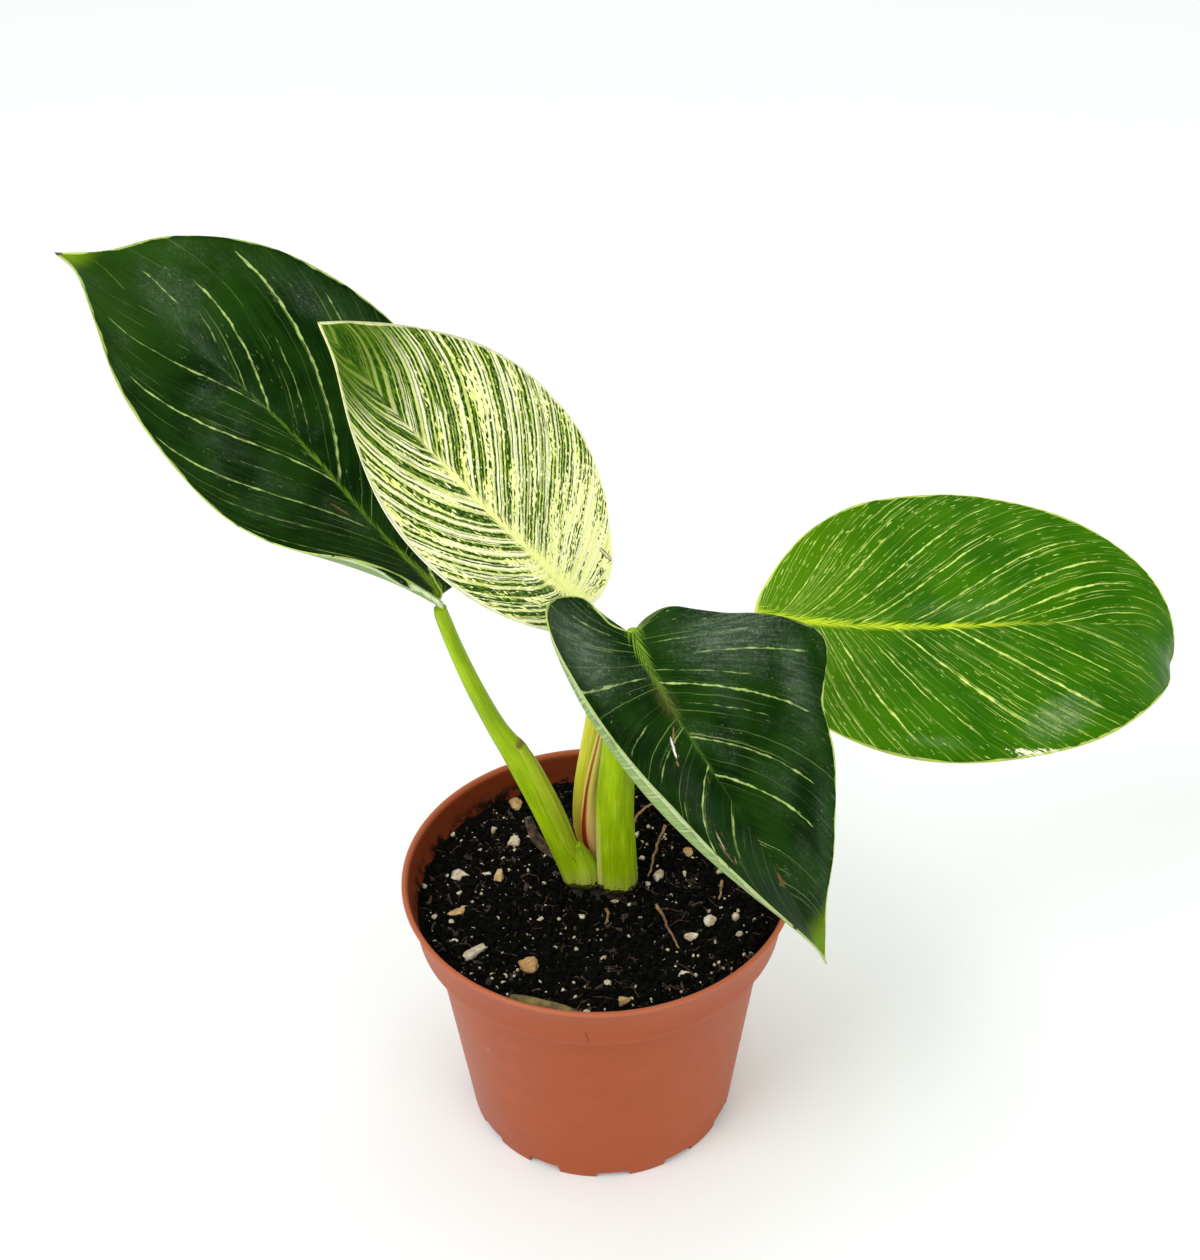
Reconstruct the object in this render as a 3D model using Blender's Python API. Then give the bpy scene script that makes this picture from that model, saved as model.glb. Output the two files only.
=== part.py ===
"""A potted philodendron: four broad leaves on fleshy petioles in a small plastic grower's pot.

Metres, +Z up, the ground at z = 0. Every size below is in millimetres, measured from the pot's axis,
and the objects are placed so that the whole plant's box is centred over the origin.
"""
import math
import random
from collections import namedtuple

import bmesh
import bpy
from mathutils import Matrix, Vector

MM = 0.001
POT_AXIS = Vector((-12.5, -1.0, 0.0))    # where the pot stands, in mm
GAP = 0.3                                # clearance between pieces that touch

# ---- pot -------------------------------------------------------------------------------------
POT_HEIGHT = 91.0
POT_SEGMENTS = 72
RIM_RADIUS = 60.0
COLLAR_HEIGHT = 16.8
COLLAR_LOW_RADIUS = 55.9
BODY_TOP_RADIUS = 51.8
BODY_FOOT_RADIUS = 42.4
WALL = 1.1
FLOOR_UNDERSIDE = 3.6
FLOOR_THICKNESS = 1.3
FOOT_RING_WIDTH = 3.2
FOOT_COUNT = 12
FOOT_PITCH = 360.0 / FOOT_COUNT
FIRST_NOTCH = 4.0                        # direction of the first gap between two feet, in degrees
NOTCH_WIDTH = 11.0
NOTCH_DEPTH = 0.7
DEEP_NOTCH_DEPTH = 2.4
DEEP_NOTCH_EVERY = 3
DEEP_NOTCH_PHASE = 2
DRAIN_HOLE_RADIUS = 3.0
DRAIN_RING_RADIUS = 26.0
DRAIN_HOLE_COUNT = 8

# ---- soil ------------------------------------------------------------------------------------
SOIL_TOP = 80.0

# ---- leaves ----------------------------------------------------------------------------------
BLADE_THICKNESS = 0.8
BLADE_ROWS = 22
BLADE_COLUMNS = 6                        # on each side of the midrib
VEIN_LEAN = 1.15                         # how far along the midrib a vein starts
VEIN_BEND = Vector((0.30, 0.62))         # how a vein leaves the midrib before it turns to the tip

# Half outlines from the petiole round to the tip: along the midrib / length, across / half width.
LOBED = ((0.0, 0.0), (-0.045, 0.16), (-0.06, 0.38), (-0.02, 0.62), (0.10, 0.86), (0.28, 0.99),
         (0.46, 0.97), (0.64, 0.76), (0.80, 0.46), (0.92, 0.17), (1.0, 0.0))
PLAIN = ((0.0, 0.0), (0.0, 0.13), (0.02, 0.30), (0.06, 0.53), (0.14, 0.78), (0.28, 0.96),
         (0.46, 0.99), (0.64, 0.82), (0.80, 0.52), (0.92, 0.21), (1.0, 0.0))

# A half blade: width in mm; fold up from flat, in degrees, and curl, in thousandths of a radian
# per mm, each at the petiole, the middle and the tip; outline, and where it differs from that.
Half = namedtuple("Half", "width fold curl outline changes")
# A blade: Bezier points of the midrib, and its twist in degrees at the petiole and the tip.
Blade = namedtuple("Blade", "midrib twist left right")

BLADES = {
    "leaf_left": Blade(
        ((-43, 6, 188), (-68, 37, 192), (-90, 54, 246), (-153, 82, 260)), (-13, 4),
        Half(46, (24, -19, 39), (11, 14, 2), LOBED,
             {2: (0.06, 0.01), 3: (0.04, 0.0), 6: (-0.02, -0.03), 7: (0.03, 0.0)}),
        Half(44, (-9, 19, 16), (1, 5, 1), PLAIN,
             {2: (0.04, -0.07), 3: (0.04, -0.02), 8: (0.03, -0.01)})),
    "leaf_variegated": Blade(
        ((-3, 18, 178), (-23, 6, 209), (-54, 14, 249), (-70, 8, 273)), (13, 44),
        Half(38, (32, 8, 18), (9, 0, -1), LOBED, {1: (0.03, 0.0), 2: (0.04, -0.02), 3: (0.02, 0.0)}),
        Half(40, (20, 16, 22), (9, 3, 5), LOBED, {7: (0.04, 0.02), 8: (0.03, 0.01)})),
    "leaf_front": Blade(
        ((11, -14, 190), (15, -33, 183), (48, -60, 150), (61, -68, 119)), (-2, 26),
        Half(47, (2, 9, 9), (16, 2, -6), LOBED, {3: (0.05, -0.02), 5: (0.0, 0.06), 6: (-0.05, -0.05)}),
        Half(47, (9, -4, 35), (21, 24, 18), LOBED, {})),
    "leaf_right": Blade(
        ((48, 32, 163), (100, 22, 154), (162, 29, 175), (178, 41, 135)), (4, -27),
        Half(48, (1, 16, 16), (22, -3, -4), PLAIN, {2: (0.01, 0.0)}),
        Half(49, (-2, -3, 10), (4, -4, -4), LOBED, {8: (0.03, 0.03), 9: (0.04, 0.02)})),
}

# ---- stalks: x, y, z, half width, half depth at each station ----------------------------------
STALK_SIDES = 14
STALK_STEPS = 22
PETIOLES = {
    "petiole_left": (
        (-5.0, 5.0, 84.6, 3.9, 3.1), (-10.4, 5.0, 97, 4.1, 3.3), (-15.0, 5.0, 112, 4.6, 3.3),
        (-22.0, 5.0, 130, 4.3, 3.1), (-28.6, 5.0, 143, 3.0, 2.8), (-34.6, 5.0, 158, 2.6, 2.5),
        (-39.2, 5.0, 172, 2.3, 2.3), (-42.2, 4.8, 183, 2.1, 2.1), (-42.8, 4.9, 186.4, 1.8, 1.8)),
    "petiole_centre": (
        (-2.2, 15.5, 83.3, 2.4, 2.2), (-5.0, 15.2, 97, 2.4, 2.2), (-4.6, 15.0, 112, 2.3, 2.2),
        (-2.4, 15.0, 127, 2.3, 2.1), (-0.4, 15.4, 141, 2.2, 2.1), (0.2, 17.0, 160, 2.0, 2.0),
        (-1.2, 19.0, 176.2, 1.5, 1.5)),
    "petiole_front": (
        (6.2, 2.0, 83.3, 6.0, 4.8), (5.6, 2.0, 104, 5.7, 4.6), (5.5, 1.6, 121, 5.0, 4.1),
        (6.2, 0.2, 140, 4.1, 3.5), (8.0, -3.2, 160, 3.2, 2.9), (10.0, -8.6, 178, 2.6, 2.4),
        (11.0, -12.7, 189.2, 1.9, 1.7)),
    "petiole_right": (
        (8.0, 14.0, 83.3, 3.4, 3.2), (8.2, 15.5, 106, 3.3, 3.1), (10.0, 18.0, 127, 3.0, 2.9),
        (18.0, 23.0, 145, 2.7, 2.6), (32.0, 29.0, 157, 2.4, 2.3), (46.0, 31.8, 161.6, 1.8, 1.7)),
}
SHEATHS = {
    "new_leaf_sheath": (
        (-0.4, 10.0, 83.3, 1.6, 1.4), (-2.2, 9.6, 98, 2.7, 1.8), (-1.7, 9.2, 111, 2.6, 1.8),
        (-0.4, 8.6, 122, 2.4, 1.7), (1.9, 8.0, 135, 2.0, 1.5), (3.6, 7.0, 147, 0.9, 0.8)),
    "dried_sheath": (
        (-8.6, 14.2, 83.2, 1.4, 0.4), (-14.5, 15.0, 85.6, 1.8, 0.5), (-19.0, 15.4, 91, 1.8, 0.5),
        (-21.5, 16.0, 99, 1.0, 0.4)),
    "cut_sheath": (
        (0.4, -4.2, 84.0, 2.2, 0.9), (-2.6, -1.6, 88.5, 2.3, 0.9), (-5.0, -0.4, 93.5, 1.0, 0.6)),
}

# ---- what lies on the soil --------------------------------------------------------------------
STEM_BASE_CENTRE = (1.2, 7.2)
STEM_BASE_RADII = (13.0, 11.5)
STEM_BASE_HEIGHT = 2.2

# x, y, height of the lump's middle above the soil for each point along a root
ROOT_RADIUS = 0.45
ROOTS = {
    "root_back": ((21.5, 26.0, 5.5), (19.4, 20.0, 4.5), (17.0, 13.0, 2.2), (15.6, 7.6, 0.9)),
    "root_front": ((17.6, -5.0, 0.8), (19.6, -11.0, 1.6), (21.0, -17.0, 2.0), (24.0, -24.0, 0.8)),
    "root_stem": ((2.4, -6.6, 0.8), (2.9, -9.6, 1.0), (1.9, -13.0, 0.8)),
    "root_tan": ((11.0, 30.0, 0.9), (13.0, 35.0, 2.4), (18.0, 39.0, 3.4), (24.0, 40.0, 1.2)),
    "root_side": ((38.6, 5.0, 0.8), (38.2, 1.0, 1.6), (37.0, -3.4, 0.8)),
}

# x, y, half length, half width, half height of each lump, and whether it is pale grit or bark
Lump = namedtuple("Lump", "x y sizes kind")
LUMPS = (
    Lump(-27.0, 43.0, (3.0, 2.6, 2.4), "bark"),
    Lump(-26.6, 24.8, (3.0, 2.4, 1.8), "grit"),
    Lump(-43.8, 10.2, (4.2, 2.2, 1.6), "grit"),
    Lump(-30.7, 9.4, (2.0, 3.2, 1.6), "bark"),
    Lump(-43.5, -5.2, (4.6, 1.8, 1.5), "bark"),
    Lump(-37.2, -24.0, (4.8, 3.0, 1.8), "grit"),
    Lump(-20.5, -31.0, (4.2, 3.4, 2.6), "bark"),
    Lump(18.8, 8.6, (2.6, 2.2, 1.9), "grit"),
    Lump(27.7, -19.0, (3.4, 1.8, 1.5), "grit"),
    Lump(33.8, -13.0, (2.8, 2.6, 2.2), "grit"),
    Lump(28.4, 18.4, (2.0, 2.6, 1.8), "bark"),
    Lump(41.4, -10.6, (1.8, 1.6, 1.4), "grit"),
    Lump(25.2, -35.0, (2.4, 1.6, 1.4), "grit"),
    Lump(6.8, -45.0, (2.8, 2.0, 1.5), "bark"),
)
BARK_CURL_ENDS = ((-25.0, -40.5), (-7.0, -46.6))
BARK_CURL_RADIUS = 3.2
BARK_CURL_THICKNESS = 0.9
BARK_CURL_ARC = (-20.0, 200.0)


# ---- materials and meshes ---------------------------------------------------------------------
def material(name, colour, roughness):
    """A plain Principled material."""
    made = bpy.data.materials.new(name)
    made.use_nodes = True
    shader = made.node_tree.nodes["Principled BSDF"]
    shader.inputs["Base Color"].default_value = (*colour, 1.0)
    shader.inputs["Roughness"].default_value = roughness
    shader.inputs["Metallic"].default_value = 0.0
    return made


def place(obj, finish, smooth_angle=40.0):
    """Stand an object on the pot's axis, with its own material and smooth shading."""
    obj.location = POT_AXIS * MM
    obj.data.materials.append(finish)
    obj.data.shade_smooth()
    obj.data.set_sharp_from_angle(angle=math.radians(smooth_angle))
    return obj


def mesh_object(name, points, faces):
    """A mesh object from points in mm, with its faces turned outwards."""
    mesh = bpy.data.meshes.new(name)
    mesh.from_pydata([tuple(Vector(point) * MM) for point in points], [], faces)
    shape = bmesh.new()
    shape.from_mesh(mesh)
    bmesh.ops.recalc_face_normals(shape, faces=shape.faces)
    shape.to_mesh(mesh)
    shape.free()
    obj = bpy.data.objects.new(name, mesh)
    bpy.context.scene.collection.objects.link(obj)
    return obj


def turned_ring(name, profile, segments):
    """A closed ring turned about Z from a closed profile that stays off the axis."""
    points = []
    for radius, height in profile:
        for k in range(segments):
            turn = 2.0 * math.pi * k / segments
            points.append((radius * math.cos(turn), radius * math.sin(turn), height))
    faces = []
    for ring in range(len(profile)):
        low = ring * segments
        high = (ring + 1) % len(profile) * segments
        for k in range(segments):
            after = (k + 1) % segments
            faces.append((low + k, low + after, high + after, high + k))
    return mesh_object(name, points, faces)


def turned(name, profile, segments):
    """A closed solid turned about Z from a profile whose first and last points lie on the axis."""
    rings = profile[1:-1]
    points = [(0.0, 0.0, profile[0][1])]
    for radius, height in rings:
        for k in range(segments):
            turn = 2.0 * math.pi * k / segments
            points.append((radius * math.cos(turn), radius * math.sin(turn), height))
    points.append((0.0, 0.0, profile[-1][1]))
    last = len(points) - 1
    faces = []
    for k in range(segments):
        after = (k + 1) % segments
        faces.append((0, 1 + after, 1 + k))
        for ring in range(len(rings) - 1):
            low = 1 + ring * segments
            high = low + segments
            faces.append((low + k, low + after, high + after, high + k))
        top = 1 + (len(rings) - 1) * segments
        faces.append((top + k, top + after, last))
    return mesh_object(name, points, faces)


def cut(obj, cutter):
    """Subtract one mesh object from another."""
    cutter.hide_render = True
    cutter.display_type = "WIRE"
    cutter.location = obj.location
    boolean = obj.modifiers.new("cut " + cutter.name, "BOOLEAN")
    boolean.operation = "DIFFERENCE"
    boolean.object = cutter


# ---- curves -----------------------------------------------------------------------------------
def through(stations, steps):
    """Points of a Catmull-Rom curve through the stations, whatever number of values each holds."""
    first = [2 * a - b for a, b in zip(stations[0], stations[1])]
    last = [2 * a - b for a, b in zip(stations[-1], stations[-2])]
    held = [first, *stations, last]
    points = []
    for step in range(steps + 1):
        where = (len(stations) - 1) * step / steps
        k = min(int(where), len(stations) - 2)
        f = where - k
        point = []
        for a, b, c, d in zip(held[k], held[k + 1], held[k + 2], held[k + 3]):
            cubic = (2 * a - 5 * b + 4 * c - d) * f ** 2 + (3 * b - a - 3 * c + d) * f ** 3
            point.append(0.5 * (2 * b + (c - a) * f + cubic))
        points.append(point)
    return points


def bezier(controls, t):
    """A point of a cubic Bezier curve."""
    a, b, c, d = (Vector(control) for control in controls)
    return (1 - t) ** 3 * a + 3 * t * (1 - t) ** 2 * b + 3 * t * t * (1 - t) * c + t ** 3 * d


def at_three(values, q):
    """The value at q between the petiole, the middle and the tip."""
    base, middle, tip = values
    return base * (1 - q) * (1 - 2 * q) + middle * 4 * q * (1 - q) + tip * q * (2 * q - 1)


# ---- leaf blades ------------------------------------------------------------------------------
class Midrib:
    """A blade's midrib with the directions along it, across it and out of its upper face."""
    SAMPLES = 80

    def __init__(self, blade):
        self.points = [bezier(blade.midrib, k / self.SAMPLES) for k in range(self.SAMPLES + 1)]
        self.run = [0.0]
        for before, after in zip(self.points, self.points[1:]):
            self.run.append(self.run[-1] + (after - before).length)
        self.length = self.run[-1]
        self.twist = blade.twist
        self.level = (self.points[-1] - self.points[0]).cross(Vector((0, 0, 1))).normalized()

    def at(self, x):
        """The point, along, across and upper directions at x mm from the petiole."""
        inside = min(max(x, 0.0), self.length)
        k = 0
        while k < self.SAMPLES - 1 and self.run[k + 1] < inside:
            k += 1
        f = (inside - self.run[k]) / (self.run[k + 1] - self.run[k])
        before = self.points[max(k - 1, 0)]
        after = self.points[min(k + 2, self.SAMPLES)]
        along = (after - before).normalized()
        across = (self.level - self.level.dot(along) * along).normalized()
        upper = across.cross(along)
        twist = math.radians(self.twist[0] + (self.twist[1] - self.twist[0]) * inside / self.length)
        point = self.points[k].lerp(self.points[k + 1], f) + min(x, 0.0) * along
        turned_across = math.cos(twist) * across + math.sin(twist) * upper
        turned_upper = math.cos(twist) * upper - math.sin(twist) * across
        return point, turned_across, turned_upper


def blade_point(midrib, half, side, x, y):
    """The place in space of the blade's point x mm along and y mm out from the midrib."""
    point, across, upper = midrib.at(x)
    q = min(max(x / midrib.length, 0.0), 1.0)
    fold = math.radians(at_three(half.fold, q))
    curl = at_three(half.curl, q) / 1000.0
    if abs(curl) < 1e-5:
        curl = 1e-5
    out = (math.sin(fold + curl * y) - math.sin(fold)) / curl
    lift = (math.cos(fold) - math.cos(fold + curl * y)) / curl
    return point + side * out * across + lift * upper


def half_outline(half, rows):
    """The half's outline as rows + 1 points, in parts of the length and the half width."""
    points = [list(point) for point in half.outline]
    for k, (along, across) in half.changes.items():
        points[k] = [points[k][0] + along, points[k][1] + across]
    return [(x, max(y, 0.0)) for x, y in through(points, rows)]


def blade_surface(blade):
    """Points and faces of a blade: rows follow the veins, from the left margin to the right."""
    midrib = Midrib(blade)
    outlines = {-1: half_outline(blade.left, BLADE_ROWS), 1: half_outline(blade.right, BLADE_ROWS)}
    halves = {-1: blade.left, 1: blade.right}
    points = [midrib.at(0.0)[0]]
    for row in range(1, BLADE_ROWS):
        start = Vector(((row / BLADE_ROWS) ** VEIN_LEAN, 0.0))
        for column in range(-BLADE_COLUMNS, BLADE_COLUMNS + 1):
            side = -1 if column < 0 else 1
            u = abs(column) / BLADE_COLUMNS
            end = Vector(outlines[side][row])
            bend = start + (end - start) * VEIN_BEND
            flat = (1 - u) ** 2 * start + 2 * u * (1 - u) * bend + u * u * end
            width = halves[side].width
            points.append(blade_point(midrib, halves[side], side, flat.x * midrib.length, flat.y * width))
    points.append(midrib.at(midrib.length)[0])
    across = 2 * BLADE_COLUMNS + 1
    tip = len(points) - 1
    last_row = 1 + (BLADE_ROWS - 2) * across
    faces = []
    for k in range(across - 1):
        faces.append((0, 1 + k, 2 + k))
        for row in range(BLADE_ROWS - 2):
            low = 1 + row * across + k
            faces.append((low, low + across, low + across + 1, low + 1))
        faces.append((last_row + k, tip, last_row + k + 1))
    return points, faces


def leaf_blade(name, finish):
    """A leaf blade: a curved sheet made solid."""
    points, faces = blade_surface(BLADES[name])
    obj = place(mesh_object(name, points, faces), finish, 180.0)
    solid = obj.modifiers.new("thickness", "SOLIDIFY")
    solid.thickness = BLADE_THICKNESS * MM
    solid.offset = 0.0
    return obj


# ---- stalks, sheaths and roots ----------------------------------------------------------------
def stalk(name, stations, finish):
    """A closed stalk of oval section through its stations."""
    held = through(stations, STALK_STEPS)
    points = []
    for k, (x, y, z, half_width, half_depth) in enumerate(held):
        before = Vector(held[max(k - 1, 0)][:3])
        after = Vector(held[min(k + 1, STALK_STEPS)][:3])
        along = (after - before).normalized()
        depth = along.cross(Vector((1, 0, 0))).normalized()
        width = depth.cross(along)
        for side in range(STALK_SIDES):
            turn = 2 * math.pi * side / STALK_SIDES
            ring = half_width * math.cos(turn) * width + half_depth * math.sin(turn) * depth
            points.append(Vector((x, y, z)) + ring)
    faces = [tuple(range(STALK_SIDES)), tuple(len(points) - 1 - k for k in range(STALK_SIDES))]
    for k in range(STALK_STEPS):
        for side in range(STALK_SIDES):
            after = (side + 1) % STALK_SIDES
            low = k * STALK_SIDES
            high = low + STALK_SIDES
            faces.append((low + side, low + after, high + after, high + side))
    return place(mesh_object(name, points, faces), finish)


def root(name, stations, finish):
    """A thin root lying on the soil, as a bevelled curve."""
    path = through([(x, y, SOIL_TOP + GAP + z) for x, y, z in stations], 14)
    curve = bpy.data.curves.new(name, "CURVE")
    curve.dimensions = "3D"
    curve.bevel_depth = ROOT_RADIUS * MM
    curve.bevel_resolution = 1
    curve.use_fill_caps = True
    spline = curve.splines.new("POLY")
    spline.points.add(len(path) - 1)
    for point, place_mm in zip(spline.points, path):
        point.co = (*(Vector(place_mm) * MM), 1.0)
    obj = bpy.data.objects.new(name, curve)
    bpy.context.scene.collection.objects.link(obj)
    obj.location = POT_AXIS * MM
    curve.materials.append(finish)
    return obj


# ---- pot and soil -----------------------------------------------------------------------------
def inner_wall(height):
    """The pot wall's inner radius at a height below the ledge of its collar."""
    rise = POT_HEIGHT - COLLAR_HEIGHT
    return BODY_FOOT_RADIUS + (BODY_TOP_RADIUS - BODY_FOOT_RADIUS) * height / rise - WALL


def pot(finish):
    """The pot: tapered body, ledge, collar with a lip, ring of feet and drained floor."""
    ledge = POT_HEIGHT - COLLAR_HEIGHT
    floor_top = FLOOR_UNDERSIDE + FLOOR_THICKNESS
    profile = [
        (DRAIN_HOLE_RADIUS, FLOOR_UNDERSIDE),
        (DRAIN_RING_RADIUS - 2 * DRAIN_HOLE_RADIUS, FLOOR_UNDERSIDE),
        (DRAIN_RING_RADIUS + 2 * DRAIN_HOLE_RADIUS, FLOOR_UNDERSIDE),
        (BODY_FOOT_RADIUS - FOOT_RING_WIDTH - 0.4, FLOOR_UNDERSIDE),
        (BODY_FOOT_RADIUS - FOOT_RING_WIDTH, 0.0),
        (BODY_FOOT_RADIUS - 0.4, 0.0),
        (BODY_FOOT_RADIUS, 0.5),
        (BODY_FOOT_RADIUS + 0.4, 3.0),
        (BODY_TOP_RADIUS, ledge - 1.0),
        (BODY_TOP_RADIUS + 0.8, ledge),
        (COLLAR_LOW_RADIUS - 0.3, ledge),
        (COLLAR_LOW_RADIUS + 0.3, ledge + 0.6),
        (COLLAR_LOW_RADIUS + 0.2, ledge + 2.5),
        (RIM_RADIUS - 1.0, POT_HEIGHT - 1.2),
        (RIM_RADIUS, POT_HEIGHT - 0.9),
        (RIM_RADIUS, POT_HEIGHT - 0.2),
        (RIM_RADIUS - 0.3, POT_HEIGHT),
        (RIM_RADIUS - 1.6, POT_HEIGHT),
        (COLLAR_LOW_RADIUS - 1.0, ledge + 2.2),
        (COLLAR_LOW_RADIUS - 1.6, ledge + WALL),
        (inner_wall(ledge) + 0.4, ledge + WALL),
        (inner_wall(ledge), ledge - 0.4),
        (inner_wall(floor_top), floor_top + 0.6),
        (inner_wall(floor_top) - 0.6, floor_top),
        (DRAIN_RING_RADIUS + 2 * DRAIN_HOLE_RADIUS, floor_top),
        (DRAIN_RING_RADIUS - 2 * DRAIN_HOLE_RADIUS, floor_top),
        (DRAIN_HOLE_RADIUS, floor_top),
    ]
    obj = place(turned_ring("pot", profile, POT_SEGMENTS), finish, 35.0)
    cut(obj, foot_notches())
    cut(obj, drain_holes())
    return obj


def foot_notches():
    """The boxes that cut the gaps between the feet."""
    corners = []
    faces = []
    inner = BODY_FOOT_RADIUS - 2 * FOOT_RING_WIDTH
    outer = BODY_FOOT_RADIUS + FOOT_RING_WIDTH
    for k in range(FOOT_COUNT):
        turn = math.radians(FIRST_NOTCH + FOOT_PITCH * k)
        outwards = Vector((math.cos(turn), math.sin(turn), 0.0))
        sideways = Vector((-math.sin(turn), math.cos(turn), 0.0))
        deep = k % DEEP_NOTCH_EVERY == DEEP_NOTCH_PHASE
        first = len(corners)
        for height in (-1.0, DEEP_NOTCH_DEPTH if deep else NOTCH_DEPTH):
            for reach, shift in ((inner, -1), (outer, -1), (outer, 1), (inner, 1)):
                level = Vector((0.0, 0.0, height))
                corners.append(outwards * reach + sideways * shift * NOTCH_WIDTH / 2 + level)
        sides = ((0, 1, 2, 3), (7, 6, 5, 4), (0, 4, 5, 1), (1, 5, 6, 2), (2, 6, 7, 3), (3, 7, 4, 0))
        faces += [tuple(first + corner for corner in side) for side in sides]
    return mesh_object("foot notches", corners, faces)


def drain_holes():
    """The round plugs that cut the ring of holes through the pot's floor."""
    shape = bmesh.new()
    for k in range(DRAIN_HOLE_COUNT):
        turn = 2 * math.pi * (k + 0.5) / DRAIN_HOLE_COUNT
        middle = Vector((math.cos(turn), math.sin(turn), 0.0)) * DRAIN_RING_RADIUS
        middle.z = FLOOR_UNDERSIDE
        bmesh.ops.create_cone(shape, cap_ends=True, segments=16, radius1=DRAIN_HOLE_RADIUS * MM,
                              radius2=DRAIN_HOLE_RADIUS * MM, depth=6.0 * MM,
                              matrix=Matrix.Translation(middle * MM))
    mesh = bpy.data.meshes.new("drain holes")
    shape.to_mesh(mesh)
    shape.free()
    plugs = bpy.data.objects.new("drain holes", mesh)
    bpy.context.scene.collection.objects.link(plugs)
    return plugs


def soil(finish):
    """The soil: it fills the pot up to a little below the rim."""
    ledge = POT_HEIGHT - COLLAR_HEIGHT
    bottom = FLOOR_UNDERSIDE + FLOOR_THICKNESS + GAP
    profile = [
        (0.0, bottom),
        (inner_wall(bottom) - 1.2, bottom),
        (inner_wall(bottom) - GAP - 0.2, bottom + 1.2),
        (inner_wall(ledge) - GAP - 0.1, ledge - 0.4),
        (inner_wall(ledge) - GAP, ledge + WALL + GAP),
        (COLLAR_LOW_RADIUS - 1.6 - GAP, ledge + WALL + GAP),
        (COLLAR_LOW_RADIUS - 1.0 - GAP, ledge + 2.2),
        (COLLAR_LOW_RADIUS - GAP + 0.1, SOIL_TOP),
        (0.0, SOIL_TOP),
    ]
    return place(turned("soil", profile, POT_SEGMENTS), finish)


# ---- what lies on the soil --------------------------------------------------------------------
def stem_base(finish):
    """The short ragged stem that the petioles stand on."""
    x, y = STEM_BASE_CENTRE
    low = SOIL_TOP + GAP
    profile = [(0.0, low), (0.92, low), (1.0, low + 0.9), (0.97, low + STEM_BASE_HEIGHT - 0.4),
               (0.93, low + STEM_BASE_HEIGHT), (0.0, low + STEM_BASE_HEIGHT)]
    obj = place(turned("stem_base", profile, 36), finish)
    for vertex in obj.data.vertices:
        vertex.co.x = vertex.co.x * STEM_BASE_RADII[0] + x * MM
        vertex.co.y = vertex.co.y * STEM_BASE_RADII[1] + y * MM
    return obj


def lump(name, spec, finish):
    """A rough lump of grit or bark resting on the soil."""
    shape = bmesh.new()
    bmesh.ops.create_icosphere(shape, subdivisions=2, radius=1.0)
    rough = random.Random(name)
    turn = rough.uniform(0.0, math.pi)
    for vertex in shape.verts:
        vertex.co *= rough.uniform(0.86, 1.0)
        x, y, z = (part * size for part, size in zip(vertex.co, spec.sizes))
        vertex.co = (x * math.cos(turn * 0.2) - y * math.sin(turn * 0.2), y, z)
    lowest = min(vertex.co.z for vertex in shape.verts)
    middle = Vector((spec.x, spec.y, SOIL_TOP + GAP - lowest))
    for vertex in shape.verts:
        vertex.co = (vertex.co + middle) * MM
    mesh = bpy.data.meshes.new(name)
    shape.to_mesh(mesh)
    shape.free()
    obj = bpy.data.objects.new(name, mesh)
    bpy.context.scene.collection.objects.link(obj)
    return place(obj, finish)


def bark_curl(finish):
    """A curled strip of bark lying along the front of the rim."""
    start = Vector((*BARK_CURL_ENDS[0], 0.0))
    end = Vector((*BARK_CURL_ENDS[1], 0.0))
    sideways = (end - start).normalized().cross(Vector((0, 0, 1)))
    steps = 12
    section = []
    for radius, order in ((BARK_CURL_RADIUS, range(steps + 1)),
                          (BARK_CURL_RADIUS - BARK_CURL_THICKNESS, range(steps, -1, -1))):
        for k in order:
            turn = math.radians(BARK_CURL_ARC[0] + (BARK_CURL_ARC[1] - BARK_CURL_ARC[0]) * k / steps)
            section.append((radius * math.cos(turn), radius * math.sin(turn)))
    lowest = min(height for _, height in section)
    count = len(section)
    points = []
    for end_point in (start, end):
        for out, height in section:
            level = Vector((0.0, 0.0, SOIL_TOP + GAP - lowest + height))
            points.append(end_point + sideways * out + level)
    faces = [tuple(range(count)), tuple(2 * count - 1 - k for k in range(count))]
    for k in range(count):
        after = (k + 1) % count
        faces.append((k, after, count + after, count + k))
    return place(mesh_object("bark_curl", points, faces), finish)


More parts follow.
